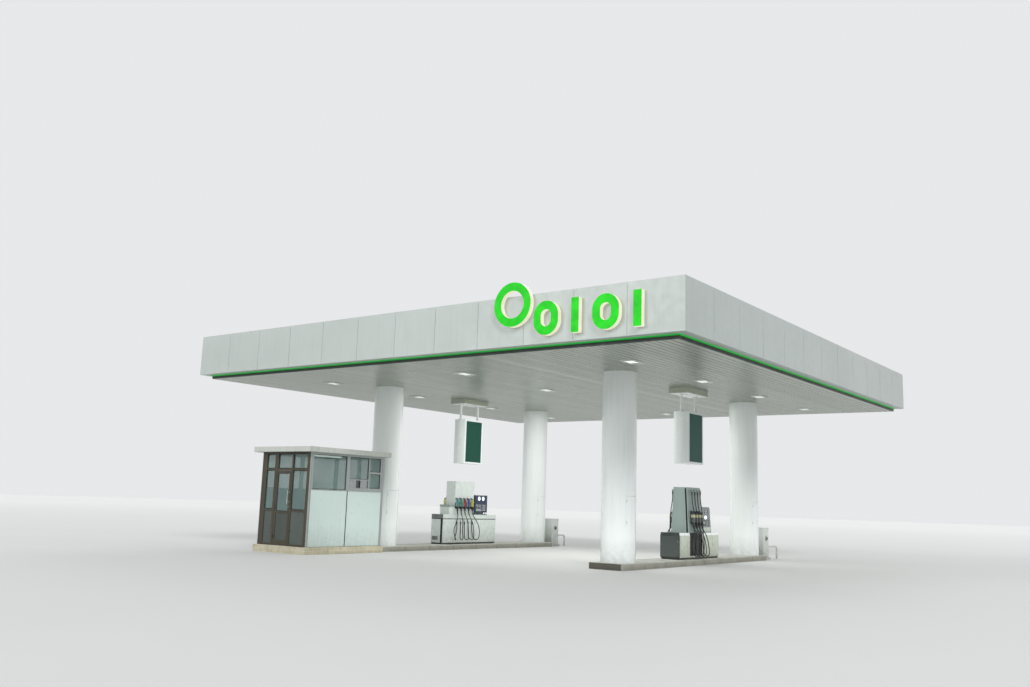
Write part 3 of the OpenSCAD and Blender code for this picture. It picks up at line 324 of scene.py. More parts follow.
def left_dispenser_materials(m):
    # White enamel with a black seam widened by a band of painted shade, a black foot and slots, a grey cap on
    # the low step and dark ledge ends
    foot_z, seam_and_shade_z, slot_z = 0.1995, (0.926, 0.9515), (0.2, 0.951)
    ledge_z, cap_z = (0.951, 1.0795), (1.3095, 1.39)
    slots = ((-3.8485, -3.7655), (-1.3895, -1.36)), ((-4.2345, -4.1515), (1.28, 1.3095))
    step_y, middle_y, ledge_half = -0.788, -0.04, 1.3
    s = painted("pump enamel", "cad2cd", 0.2, 0.35, streak=0.12, dirt=0.6, Coat_Weight=0.3)
    x, y, z = (s.axis(i) for i in range(3))
    # Seam band: the real black seam, widened downward with painted shade
    seam_and_shade = s.both(s.calc("GREATER_THAN", z, seam_and_shade_z[0]), s.calc("LESS_THAN", z, seam_and_shade_z[1]))
    dark = s.calc("MAXIMUM", seam_and_shade, s.calc("LESS_THAN", z, foot_z))
    for slot_x, slot_y in slots:
        slot = s.both(s.between(x, *slot_x), s.between(y, *slot_y), s.between(z, *slot_z))
        dark = s.calc("MAXIMUM", dark, slot)
    c = s.mix(s.both(s.between(z, *cap_z), s.calc("LESS_THAN", y, step_y)), s.base(), rgb("8b9591"))
    ends = s.calc("GREATER_THAN", s.calc("ABSOLUTE", s.axis(1, s.normal)), 0.7)
    off = s.calc("ABSOLUTE", s.calc("SUBTRACT", y, middle_y))
    c = s.mix(s.both(ends, s.between(z, *ledge_z), s.calc("GREATER_THAN", off, ledge_half)), c, rgb("5c6763"))
    s.colour(s.mix(dark, c, rgb("17201d")))
    m["pump_white"] = s
    # Head: navy with a dark lower part and a silver top
    lower_z, top_z = 1.165, 1.704
    s = painted("head navy", "1b2744", 0.2, 0.35, streak=0.08, tint="39435c", Coat_Weight=0.3)
    z = s.axis(2)
    c = s.mix(s.calc("LESS_THAN", z, lower_z), s.base(), rgb("2b3336"))
    s.colour(s.mix(s.calc("GREATER_THAN", z, top_z), c, rgb("a9b4b6")))
    m["pump_navy"] = s


def shared_dispenser_materials(m):
    s = Mat("screen glass", rough=0.08, Coat_Weight=0.6)
    s.colour(s.mix(s.remap(s.noise(3.0), 0.3, 0.7), rgb("0c1413"), rgb("1a2624")))
    s.bump(s.noise(6.0, detail=1.0), 0.0002)
    m["screen"] = s
    s = Mat("head lamp", rough=0.25)
    s.colour(rgb("dfe9f2"))
    s.glow(s.mix(s.remap(s.noise(18.0), 0.3, 0.7), rgb("cfe0ff"), rgb("ffffff")), 0.85)
    m["head_lamp"] = s
    s = Mat("gasket rubber")
    s.colour(s.mix(s.remap(s.noise(8.0, detail=4.0), 0.3, 0.7), rgb("1a1d1c"), rgb("2f3332")))
    s.rough(0.5, 0.75, 20.0)
    s.bump(s.noise(300.0), 0.0002)
    m["gasket"] = s
    m["keys"] = painted("key caps", "9aa3a2", 0.35, 0.5, streak=0.0, grain=200.0, relief=0.0002)
    m["charcoal"] = painted("charcoal coat", "333d3c", 0.3, 0.48, streak=0.12, dirt=0.5, tone=0.08)


def right_dispenser_materials(m):
    # Cabinet: cream lane faces, charcoal ends and top, bright bevel, black foot and hose bay
    bay_x, bay_y, bay_z, foot_z = (0.2, 0.2885), (-0.4885, 0.2525), (0.2395, 0.849), 0.1995
    s = painted("cabinet coat", "bfc8b8", 0.22, 0.4, streak=0.2, dirt=0.8)
    end = s.calc("GREATER_THAN", s.calc("ABSOLUTE", s.axis(1, s.normal)), 0.6)
    c = s.mix(end, s.base(), s.spread(rgb("283230"), 1.5, 0.12))
    nz = s.axis(2, s.normal)
    bevel = s.calc("MULTIPLY", s.calc("GREATER_THAN", nz, 0.15), s.calc("LESS_THAN", nz, 0.9))
    c = s.mix(bevel, c, rgb("eef2ef"))
    c = s.mix(s.calc("GREATER_THAN", nz, 0.9), c, rgb("3a4543"))
    out = s.calc("ABSOLUTE", s.calc("SUBTRACT", s.axis(0), PUMP_X))
    bay = s.both(s.between(out, *bay_x), s.between(s.axis(1), *bay_y),
                 s.between(s.axis(2), *bay_z), s.calc("LESS_THAN", nz, 0.5))
    c = s.mix(s.calc("MAXIMUM", bay, s.calc("LESS_THAN", s.axis(2), foot_z)), c, rgb("161c1a"))
    s.colour(c)
    m["pump_cabinet"] = s
    # Tower: painted shade down the gap in both tapered ends, and a dark block behind the nozzles
    tower_z, tower_half, middle_y = (0.85, 2.07), (0.2355, 0.181), -0.1
    gap_shade_y, gap_shade_top, block_z, block_x = (0.36, 0.3985), 2.042, (1.1005, 1.4495), 0.2575
    s = painted("tower silver", "93a29d", 0.26, 0.42, metal=0.35, streak=0.15)
    s.bump(s.noise(40.0, (30, 30, 0.4), 2.0), 0.0002)
    out, y, z = s.calc("ABSOLUTE", s.calc("SUBTRACT", s.axis(0), PUMP_X)), s.axis(1), s.axis(2)
    edge = s.remap(z, *tower_z, *tower_half)
    off = s.calc("ABSOLUTE", s.calc("SUBTRACT", y, middle_y))
    # Painted shade: a dark band where the gap between end panel and lane side lies in shade
    gap_shade = s.both(s.calc("LESS_THAN", out, edge), s.between(off, *gap_shade_y),
                    s.calc("LESS_THAN", z, gap_shade_top))
    block = s.both(s.between(z, *block_z), s.calc("GREATER_THAN", out, block_x))
    s.colour(s.mix(s.calc("MAXIMUM", gap_shade, block), s.base(), rgb("1d2523")))
    m["pump_silver"] = s
    m["pump_dark"] = painted("head silver", "828d8b", 0.25, 0.4, metal=0.4, streak=0.1)


def nozzle_materials(m):
    # Left nozzles have a coloured body for each grade, right ones grey guards with a yellowish band
    body_z, guard_z, band_z = (1.33, 1.56), (1.13, 1.36), (1.26, 1.33)
    middle_y, pitch, holder_x = -0.365, 0.187, 0.236
    s = Mat("nozzle plastic", Coat_Weight=0.2)
    s.colour(s.mix(s.remap(s.noise(30.0), 0.3, 0.7), rgb("141617"), rgb("26292a")))
    s.rough(0.35, 0.6, 40.0)
    s.bump(s.noise(400.0), 0.0003)
    m["nozzle_black"] = s
    x, y, z = (s.axis(i) for i in range(3))
    out = s.calc("ADD", x, PUMP_X)
    order = s.calc("MULTIPLY", s.calc("SUBTRACT", y, middle_y), s.calc("SIGN", out))
    left = s.calc("LESS_THAN", x, 0.0)
    c = rgb("2f8a88")
    for k, hexa in enumerate(("3f8f78", "96323c", "3d63a0", "c6c04e")):
        c = s.mix(s.calc("GREATER_THAN", order, (k - 1.5) * pitch), c, rgb(hexa))
    near = s.calc("LESS_THAN", s.calc("ABSOLUTE", out), holder_x)
    c = s.mix(near, c, rgb("b3bbb7"))
    c = s.mix(left, s.mix(s.between(z, *band_z), rgb("565e5a"), rgb("b9b694")), c)
    part = s.calc("MAXIMUM", s.both(left, s.between(z, *body_z)),
                  s.both(s.calc("GREATER_THAN", x, 0.0), s.between(z, *guard_z)))
    s.colour(s.mix(part, s.base(), c))
    s = Mat("hose rubber")
    s.colour(s.mix(s.remap(s.noise(14.0), 0.3, 0.7), rgb("18191a"), rgb("2b2d2d")))
    s.rough(0.45, 0.7, 25.0)
    s.bump(s.noise(900.0, detail=1.0), 0.0003)
    m["hose_rubber"] = s


def kiosk_materials(m):
    # Plinth: small tan tiles with pale joints
    s = Mat("plinth tile")
    n = s.normal
    side = s.calc("GREATER_THAN", s.calc("ABSOLUTE", s.axis(0, n)), 0.5)
    flat = s.calc("GREATER_THAN", s.calc("ABSOLUTE", s.axis(2, n)), 0.5)
    u = s.node("Mix", {0: side, 2: s.axis(0), 3: s.axis(1)}, data_type="FLOAT").outputs[0]
    v = s.node("Mix", {0: flat, 2: s.axis(2), 3: s.axis(1)}, data_type="FLOAT").outputs[0]
    at = s.node("CombineXYZ", {0: u, 1: v}).outputs[0]
    tile = s.node("TexBrick", {"Vector": at, "Color1": rgb("bab49b"), "Color2": rgb("aea68b"),
                               "Mortar": rgb("cfccbd"), "Scale": 1.0, "Mortar Size": 0.004, "Bias": 0.0,
                               "Brick Width": 0.15, "Row Height": 0.0925}, offset=0.0)
    c = s.mix(s.remap(s.noise(5.0, detail=5.0), 0.4, 0.75, 0.0, 0.45), tile.outputs[0], rgb("8b846d"))
    s.colour(c)
    s.rough(0.3, 0.6)
    s.bump(s.calc("SUBTRACT", 1.0, tile.outputs[1]), 0.003)
    s.bump(s.noise(60.0), 0.0006)
    m["plinth_tile"] = s
    # Frames and sheets, with grey panels in the door and the front
    door_x, door_z, front_y, grey = (-4.6045, -4.1435), (0.33, 1.0215), -7.225, rgb("454d47")
    for key, name, hexa, metal in (("frame_bronze", "bronze frame", "433e32", 0.4),
                                   ("frame_silver", "silver frame", "a9afad", 0.6)):
        s = painted(name, hexa, 0.28, 0.42, metal=metal, streak=0.15, tone=0.03)
        s.bump(s.noise(60.0, (20, 20, 0.5), 2.0), 0.00015)
        if key == "frame_bronze":
            panel = s.both(s.between(s.axis(0), *door_x), s.between(s.axis(2), *door_z),
                           s.calc("GREATER_THAN", s.calc("ABSOLUTE", s.axis(1, s.normal)), 0.5))
            s.colour(s.mix(panel, s.base(), s.spread(grey, 2.0, 0.1)))
        m[key] = s
    s = painted("kiosk sheet", "c3d2ce", 0.25, 0.4, streak=0.08, dirt=0.5, tone=0.03, relief=0.0001)
    s.colour(s.mix(s.calc("LESS_THAN", s.axis(1), front_y), s.base(), s.spread(grey, 2.0, 0.1)))
    m["kiosk_panel"] = s
    s = Mat("kiosk glass", rough=0.03, Alpha=0.42, IOR=1.5)
    s.colour(s.mix(s.remap(s.noise(1.5), 0.3, 0.7), rgb("6f8783"), rgb("809a95")))
    s.bump(s.noise(1.1, detail=1.0), 0.001)
    m["kiosk_glass"] = s
    m["kiosk_roof"] = painted("kiosk roof coat", "b9bdb6", 0.45, 0.65, streak=0.35, tone=0.06)
    s = Mat("brushed steel", metal=1.0)
    s.colour(s.mix(s.remap(s.noise(20.0, (1, 1, 12)), 0.3, 0.7), rgb("b4b7b8"), rgb("c9cccc")))
    s.rough(0.18, 0.32, 30.0, (1, 1, 8))
    m["handle_steel"] = s


def build_materials():
    m = {}
    for make in (roof_materials, island_materials, sign_materials, left_dispenser_materials,
                 shared_dispenser_materials, right_dispenser_materials, nozzle_materials, kiosk_materials):
        make(m)
    return m


# Nodes that look different from the rest of their slot
OWN_LOOKS = {"pump_base_right": "pump_cabinet", "sign_mount_left": "mount", "sign_mount_right": "mount"}


def dress_nodes(m):
    """Gives every CAD node the material of its slot."""
    for part in frame["record"]["subparts"]:
        node = part["node"]
        obj = frame["nodes"][node]
        obj.data.materials.clear()
        obj.data.materials.append(m[OWN_LOOKS.get(node, part["material_slot"])].m)


# Hoses: the same points as the CAD routes, in millimetres from where each leaves its dispenser

HOSE_R = 0.012


def smooth(p, steps):
    """Points along a curve that passes through the given ones."""
    out = []
    for i in range(len(p) - 1):
        a, b, c, d = p[max(i - 1, 0)], p[i], p[i + 1], p[min(i + 2, len(p) - 1)]
        for k in range(steps):
            t = k / steps
            out.append(0.5 * (2 * b + (c - a) * t + (2 * a - 5 * b + 4 * c - d) * t * t
                              + (3 * b - a - 3 * c + d) * t ** 3))
    return out + [p[-1]]


def low_route(lean):
    """Out of the cabinet's face, down to its loop and up into a nozzle of the left dispenser."""
    return [(32, 0, -80), (32, 0, -180), (32, 5, -290), (33, 15 + 0.1 * lean, -420),
            (34, 30 + 0.25 * lean, -550), (63, 38 + 0.38 * lean, -620), (133, 40 + 0.52 * lean, -649),
            (203, 34 + 0.68 * lean, -620), (232, 20 + 0.86 * lean, -550), (240, 8 + lean, -430),
            (232, 0.96 * lean, -290), (205, 0.7 * lean, -150), (150, 0.36 * lean, -20),
            (85, 0.1 * lean, 90), (45, 0, 170), (28, 0, 240), (28, 0, 270), (28, 0, 290)]


def high_route(lean):
    """From the tower's top, down to its loop and up into a nozzle of the right dispenser."""
    a = 85
    return [(-40, a, 1100), (-40, a, 1060), (-40, a, 1000), (-36, a, 900), (-20, a, 780), (4, a, 640),
            (24, a, 480), (36, a, 320), (42, a, 150), (44, a + 0.3 * lean, -20), (44, a + 0.8 * lean, -190),
            (44, a + 1.2 * lean, -360), (44, a + lean, -520), (73, 80 + 0.8 * lean, -590),
            (143, 70 + 0.6 * lean, -619), (213, 60 + 0.4 * lean, -590), (242, 50 + 0.2 * lean, -520),
            (240, 36, -380), (226, 20, -240), (190, 8, -100), (130, 0, 20), (80, 0, 90), (53, 0, 150),
            (53, 0, 168), (53, 0, 180)]


def make_hoses(m):
    lengths, routes = {}, []
    # Side, route, lean of each loop, pitch of the nozzles, middle of the row, half of the cabinet
    sets = (("left", low_route, (-380, -150, -40, 40, 140), 187, (-4000, -365, 935), 245),
            ("right", high_route, (-120, -80, -40, 60), 170, (4000, -118, 850), 290))
    for side, route, leans, pitch, origin, half in sets:
        node = "pump_hoses_" + side
        for face in (1, -1):
            for i, lean in enumerate(leans):
                along = (i - (len(leans) - 1) / 2) * pitch
                points = smooth([Vector((origin[0] + face * (half + u), origin[1] + face * (along + v),
                                         origin[2] + w)) / 1000 for u, v, w in route(lean)], 5)
                routes.append(points)
                curve = bpy.data.curves.new("hose", "CURVE")
                curve.dimensions = "3D"
                curve.bevel_depth = HOSE_R
                curve.bevel_resolution = 3
                curve.use_fill_caps = True
                spline = curve.splines.new("POLY")
                spline.points.add(len(points) - 1)
                for q, p in zip(spline.points, points):
                    q.co = (*p, 1)
                curve.materials.append(m["hose_rubber"].m)
                name = f"hose_{side}_{'lane' if (face > 0) else 'far'}_{i + 1}"
                obj = add(name, curve)
                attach(obj, "station")
                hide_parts(node)
                length = sum((b - a).length for a, b in zip(points, points[1:]))
                lengths[name] = round(length, 3)
    make_hose_ends(m, routes)
    return lengths


# Pieces that the CAD leaves to the scene

class Piece:
    """Bars, rods and turned forms that become one object riding on a body."""

    def __init__(self):
        self.bm = bmesh.new()
        self.at = Matrix.Identity(4)

    def points(self, places):
        return [self.bm.verts.new(self.at @ Vector(q)) for q in places]

    def bar(self, lo, hi, edge=0.002):
        """Box with chamfered edges."""
        c = [(a + b) / 2 for a, b in zip(lo, hi)]
        h = [abs(b - a) / 2 for a, b in zip(lo, hi)]
        e = min([edge] + [0.45 * v for v in h])
        out = []
        for i in range(8):
            sign = [1 if i >> k & 1 else -1 for k in range(3)]
            for k in range(3):
                out.append([c[j] + sign[j] * (h[j] - (0 if j == k else e)) for j in range(3)])
        self.hull(out)

    def hull(self, places):
        made = bmesh.ops.convex_hull(self.bm, input=self.points(places))
        spare = [g for g in made["geom_interior"] if isinstance(g, bmesh.types.BMVert) and g.is_valid]
        bmesh.ops.delete(self.bm, geom=spare, context="VERTS")

    def turned(self, at, axis, profile, n=24, closed=False, flat=1.0):
        """Revolved form: the profile lists distance along the axis and radius."""
        axis = Vector(axis).normalized()
        u = axis.orthogonal().normalized()
        if abs(axis.z) < 0.5:
            u = Vector((0, 0, 1)).cross(axis).normalized()
        w = axis.cross(u)
        rows = []
        for d, r in profile:
            ring = []
            for k in range(n if r else 1):
                a = 2 * math.pi * k / n
                ring.append(Vector(at) + axis * d + u * math.cos(a) * r + w * math.sin(a) * r * flat)
            rows.append(self.points(ring))
        pairs = list(zip(rows, rows[1:])) + ([(rows[-1], rows[0])] if closed else [])
        for a, b in pairs:
            for k in range(n):
                q = [a[k % len(a)], a[(k + 1) % len(a)], b[(k + 1) % len(b)], b[k % len(b)]]
                self.bm.faces.new(list(dict.fromkeys(q)))

    def disc(self, at, axis, r, t, edge=0.001, n=24, flat=1.0):
        self.turned(at, axis, [(0, 0), (0, r), (t - edge, r), (t, r - edge), (t, 0)], n, flat=flat)

    def ring(self, at, axis, r0, r1, t, edge=0.0015, n=32, flat=1.0):
        profile = [(0, r0), (0, r1), (t - edge, r1), (t, r1 - edge), (t, r0 + edge), (t - edge, r0)]
        self.turned(at, axis, profile, n, True, flat)

    def rod(self, a, b, r, n=12):
        a, b = Vector(a), Vector(b)
        self.turned(a, b - a, [(0, 0), (0, r), ((b - a).length, r), ((b - a).length, 0)], n)

    def sleeve(self, path, radii, n=14):
        """Closed skin around a path, with a radius at each point."""
        rows = []
        for i, q in enumerate(path):
            t = (path[min(i + 1, len(path) - 1)] - path[max(i - 1, 0)]).normalized()
            u = Vector((0, 1, 0))
            w = t.cross(u).normalized()
            u = w.cross(t)
            turns = [k * 2 * math.pi / n for k in range(n)]
            rows.append(self.points([q + (u * math.cos(a) + w * math.sin(a)) * radii[i] for a in turns]))
        for a, b in zip(rows, rows[1:]):
            for k in range(n):
                self.bm.faces.new((a[k], a[(k + 1) % n], b[(k + 1) % n], b[k]))
        self.bm.faces.new(rows[0][::-1])
        self.bm.faces.new(rows[-1])

    def frame(self, lo, hi, thin, w, edge=0.001):
        """Four bars just inside a rectangle whose thin axis is given."""
        a, b = [k for k in range(3) if k != thin]
        for k in (a, b):
            for end in (0, 1):
                p, q = list(lo), list(hi)
                if end:
                    p[k] = hi[k] - w
                else:
                    q[k] = lo[k] + w
                if k == b:
                    p[a] += w
                    q[a] -= w
                self.bar(p, q, edge)

    def boot(self, x, y, rise):
        """Moulded boot behind a nozzle, with the four heights of its sloping outline."""
        outline = zip((x, x + 0.014, x + 0.014, x), rise, (0.034, 0.028, 0.028, 0.034))
        self.hull([(u, y + k, z) for u, z, q in outline for k in (-q, q)])

    def keypad(self, x, at, count, pitch, size):
        """Rows of keys on a face that looks along x."""
        for i in range(count[0]):
            for j in range(count[1]):
                y, z = at[0] + i * pitch[0], at[1] + j * pitch[1]
                self.bar((x[0], y, z), (x[1], y + size[0], z + size[1]), 0.003)

    def figures(self, x, y, rows, step, h):
        """Two rows of figures on a screen, the lower one shorter."""
        for row, z in enumerate(rows):
            for k, d in enumerate("00100"[row:]):
                self.digit((y + row * step + k * step, z), x, d, h, 0.0006)

    def digit(self, at, x, shape, h, lift):
        """Figure 0 or 1 in seven-segment bars, on a face that looks along x."""
        y, z = at
        w, t = h * 0.52, h * 0.11
        bars = {"0": "tbulrv", "1": "rv"}[shape]
        spans = {"t": (0, w, h - t, h), "b": (0, w, 0, t), "u": (0, t, t, h / 2), "l": (0, t, h / 2, h - t),
                 "r": (w - t, w, t, h / 2), "v": (w - t, w, h / 2, h - t)}
        gap = t * 0.12
        for key in bars:
            y0, y1, z0, z1 = spans[key]
            self.bar((x, y + y0 + gap, z + z0 + gap), (x + lift, y + y1 - gap, z + z1 - gap), t * 0.2)

    def done(self, name, slot, mat, body="station", angle=35):
        mesh = bpy.data.meshes.new(name)
        bmesh.ops.recalc_face_normals(self.bm, faces=self.bm.faces)
        self.bm.to_mesh(mesh)
        self.bm.free()
        mesh.polygons.foreach_set("use_smooth", [True] * len(mesh.polygons))
        mesh.set_sharp_from_angle(angle=math.radians(angle))
        mesh.materials.append(mat.m)
        obj = add(name, mesh)
        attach(obj, body)
        return obj


def place(at, *pieces):
    """Puts what is added to the pieces next at a place."""
    for p in pieces:
        p.at = at


def faces(x):
    """Places of the two lane faces of a dispenser: local x grows outward from its axis."""
    return [Matrix.Translation((x, 0, 0)) @ Matrix.Diagonal((side, 1, 1, 1)) for side in (1, -1)]


def ends(x, y):
    """Places of the two ends of a dispenser: local -y grows outward from its middle."""
    return [Matrix.Translation((x, y, 0)) @ Matrix.Rotation(turn, 4, "Z") for turn in (0, math.pi)]


def cabinet_door(sheet, steel, dark, y, z, x, lock, hinges):
    """Door with its lock and two hinge pins: x lists the places of back, front, lock, slot and pins."""
    lock_y = y[1] - lock[0]
    sheet.bar((x[0], y[0], z[0]), (x[1], y[1], z[1]), 0.0015)
    steel.disc((x[2], lock_y, lock[1]), (1, 0, 0), 0.013, 0.004)
    low, high = lock[1] - 0.008, lock[1] + 0.008
    dark.bar((x[3], lock_y - 0.0015, low), (x[3] + 0.001, lock_y + 0.0015, high), 0.0003)
    for h in hinges:
        steel.rod((x[4], y[0] + 0.004, h - 0.025), (x[4], y[0] + 0.004, h + 0.025), 0.004, 10)


def islands_of(obj):
    """Boxes of the loose parts of a mesh."""
    bm = bmesh.new()
    bm.from_mesh(obj.data)
    seen, out = set(), []
    for v in bm.verts:
        if v in seen:
            continue
        todo, found = [v], []
        seen.add(v)
        while todo:
            q = todo.pop()
            found.append(q.co.copy())
            for e in q.link_edges:
                o = e.other_vert(q)
                if o not in seen:
                    seen.add(o)
                    todo.append(o)
        out.append([[pick(c[k] for c in found) for k in range(3)] for pick in (min, max)])
    bm.free()
    return out


def make_roof_trim(m):
    # Folded coping along the top of the fascia, with a strap over each joint
    p = Piece()
    top, r, w, bay = ROOF_TOP, ROOF_HALF, 0.16, 1.3
    for turn in range(4):
        p.at = Matrix.Rotation(turn * math.pi / 2, 4, "Z")
        corners = (-r, -r), (r, -r), (r - w, w - r), (w - r, w - r)
        p.hull([(x, y, top + z) for z in (0.0, 0.007) for x, y in corners])
        for i in range(1, 12):
            x = -r + i * bay
            p.bar((x - 0.03, -r, top + 0.006), (x + 0.03, w - r, top + 0.0095), 0.001)
    p.done("fascia_coping", "fascia", m["fascia"])
    # Screws of the lamp frames, and a lip round each lens
    screws, lips = Piece(), Piece()
    corner, border = 0.015, 0.028
    for a, b in islands_of(frame["nodes"]["lamp_frames"]):
        x, y, z = (a[0] + b[0]) / 2, (a[1] + b[1]) / 2, a[2]
        h = (b[0] - a[0]) / 2
        for sx in (-1, 1):
            for sy in (-1, 1):
                screws.disc((x + sx * (h - corner), y + sy * (h - corner), z), (0, 0, -1), 0.006, 0.003, n=10)
        h -= border
        lips.frame((x - h, y - h, z - 0.004), (x + h, y + h, z + 0.001), 2, 0.008)
    screws.done("lamp_screws", "handle_steel", m["handle_steel"])
    lips.done("lamp_lips", "lamp_frame", m["lamp_frame"])


def make_column_fittings(m):
    # Locks on one edge of each hatch and hinges on the other
    p = Piece()
    half_angle, heights = 0.555, (1.12, 1.63)
    for x in (-PUMP_X, PUMP_X):
        for y in (-COLUMN_Y, COLUMN_Y):
            for side in (1, -1):
                for z in heights:
                    a = side * half_angle
                    at = Vector((x + COLUMN_R * math.cos(a), y + COLUMN_R * math.sin(a), z))
                    out = Vector((math.cos(a), math.sin(a), 0))
                    if side > 0:
                        p.disc(at - out * 0.001, out, 0.013, 0.005, n=18)
                        p.disc(at + out * 0.003, out, 0.005, 0.003, n=10)
                    else:
                        p.rod(at + Vector((0, 0, -0.035)), at + Vector((0, 0, 0.035)), 0.006)
    p.done("hatch_fittings", "handle_steel", m["handle_steel"])


def make_light_box_trim(m):
    # Frame round each face with its screws, and a bolted flange at both ends of each tube
    trim, bolts = Piece(), Piece()
    tube_y, tube_z = 0.435, ((4.15, 1), (4.65, -1))
    flange = [(0, 0.038), (0, 0.085), (0.008, 0.085), (0.012, 0.081), (0.014, 0.05), (0.024, 0.042),
              (0.024, 0.038)]
    for x in (-PUMP_X, PUMP_X):
        for at in faces(x):
            place(at, trim, bolts)
            trim.frame((0.2235, -0.418, 2.752), (0.2285, 0.418, 4.118), 0, 0.02, 0.002)
            for y in (-0.408, 0.408):
                for z in (2.79, 3.2, 3.67, 4.08):
                    bolts.disc((0.228, y, z), (1, 0, 0), 0.0055, 0.0025, n=10)
        place(Matrix.Translation((x, 0, 0)), trim, bolts)
        for y in (-tube_y, tube_y):
            for z, up in tube_z:
                trim.turned((0, y, z), (0, 0, up), flange, 36, True)
                for k in range(4):
                    a = math.pi / 4 + k * math.pi / 2
                    bolts.disc((0.066 * math.cos(a), y + 0.066 * math.sin(a), z + up * 0.012), (0, 0, up),
                               0.009, 0.007, n=6)
    trim.done("light_box_trim", "sign_white", m["sign_white"])
    bolts.done("light_box_bolts", "handle_steel", m["handle_steel"])


def make_left_dispenser(m):
    doors, dark, steel, lens, glass, pads = pieces = [Piece() for _ in range(6)]
    for at in faces(-PUMP_X):
        place(at, *pieces)
        for y in ((-1.362, -0.93), (-0.9, 0.17), (0.2, 1.282)):
            cabinet_door(doors, steel, dark, y, (0.216, 0.92), (0.2445, 0.248, 0.2478, 0.2515, 0.25),
                         (0.04, 0.62), (0.3, 0.82))
        # Panel over the nozzles, and a boot and a frame behind each
        doors.bar((0.1945, -0.755, 1.66), (0.1975, 0.145, 2.095), 0.0015)
        dark.bar((0.1948, -0.765, 1.2), (0.1952, 0.155, 1.206), 0.0001)
        for i in range(-2, 3):
            y = -0.365 + i * 0.187
            dark.boot(0.195, y, (1.262, 1.285, 1.44, 1.462))
            doors.frame((0.1945, y - 0.05, 1.235), (0.1985, y + 0.05, 1.62), 0, 0.006, 0.001)
        # Head: two round lamps with figures, a screen, keys, a card slot and two small lamps
        for y in (0.4375, 0.6475):
            steel.ring((0.195, y, 1.6), (1, 0, 0), 0.066, 0.0745, 0.0125)
            dome = [(0, 0), (0, 0.0655), (0.004, 0.0645), (0.0065, 0.045), (0.0075, 0)]
            lens.turned((0.195, y, 1.6), (1, 0, 0), dome, 36)
            for k, d in enumerate("01"):
                dark.digit((y - 0.028 + k * 0.03, 1.578), 0.2022, d, 0.044, 0.0016)
        glass.bar((0.1952, 0.29, 1.3), (0.199, 0.58, 1.415), 0.0015)
        steel.frame((0.1952, 0.282, 1.292), (0.2008, 0.588, 1.423), 0, 0.008, 0.001)
        lens.figures(0.199, 0.31, (1.366, 1.318), 0.05, 0.034)
        pads.keypad((0.1952, 0.2015), (0.625, 1.205), (3, 4), (0.056, 0.054), (0.044, 0.04))
        pads.bar((0.1952, 0.3, 1.196), (0.2005, 0.57, 1.27), 0.003)
        dark.bar((0.2003, 0.36, 1.228), (0.2008, 0.51, 1.236), 0.0002)
        for y in (0.7, 0.81):
            lens.disc((0.205, y, 1.13), (1, 0, 0), 0.026, 0.006, 0.002)
            steel.ring((0.205, y, 1.13), (1, 0, 0), 0.026, 0.032, 0.005)
    # Louvres and a door over them on each end, and panels on the near end of tower and step
    for at in ends(-PUMP_X, -0.04):
        place(at, doors, dark, steel)
        for k in range(7):
            z = 0.289 + k * 0.0162
            dark.hull([(x, -1.35 + y, z + w) for x in (-0.183, 0.053)
                       for y, w in ((0.0095, 0.006), (0.0095, 0.009), (0.0015, 0.0), (0.0015, 0.003))])
        doors.bar((-0.195, -1.3525, 0.43), (0.062, -1.3498, 0.915), 0.001)
        steel.disc((0.03, -1.352, 0.66), (0, -1, 0), 0.013, 0.004)
    place(Matrix.Translation((-PUMP_X, 0, 0)), doors)
    doors.bar((-0.165, -0.7875, 1.41), (0.165, -0.7845, 2.095), 0.001)
    doors.bar((-0.165, -1.0528, 1.1), (0.165, -1.0498, 1.295), 0.001)
    doors.done("left_dispenser_doors", "pump_white", m["pump_white"])
    dark.done("left_dispenser_dark_parts", "nozzle_black", m["gasket"])
    steel.done("left_dispenser_steel", "handle_steel", m["handle_steel"])
    lens.done("left_dispenser_lamps", "lamp_lens", m["head_lamp"])
    glass.done("left_dispenser_screen", "pump_navy", m["screen"])
    pads.done("left_dispenser_keys", "pump_silver", m["keys"])


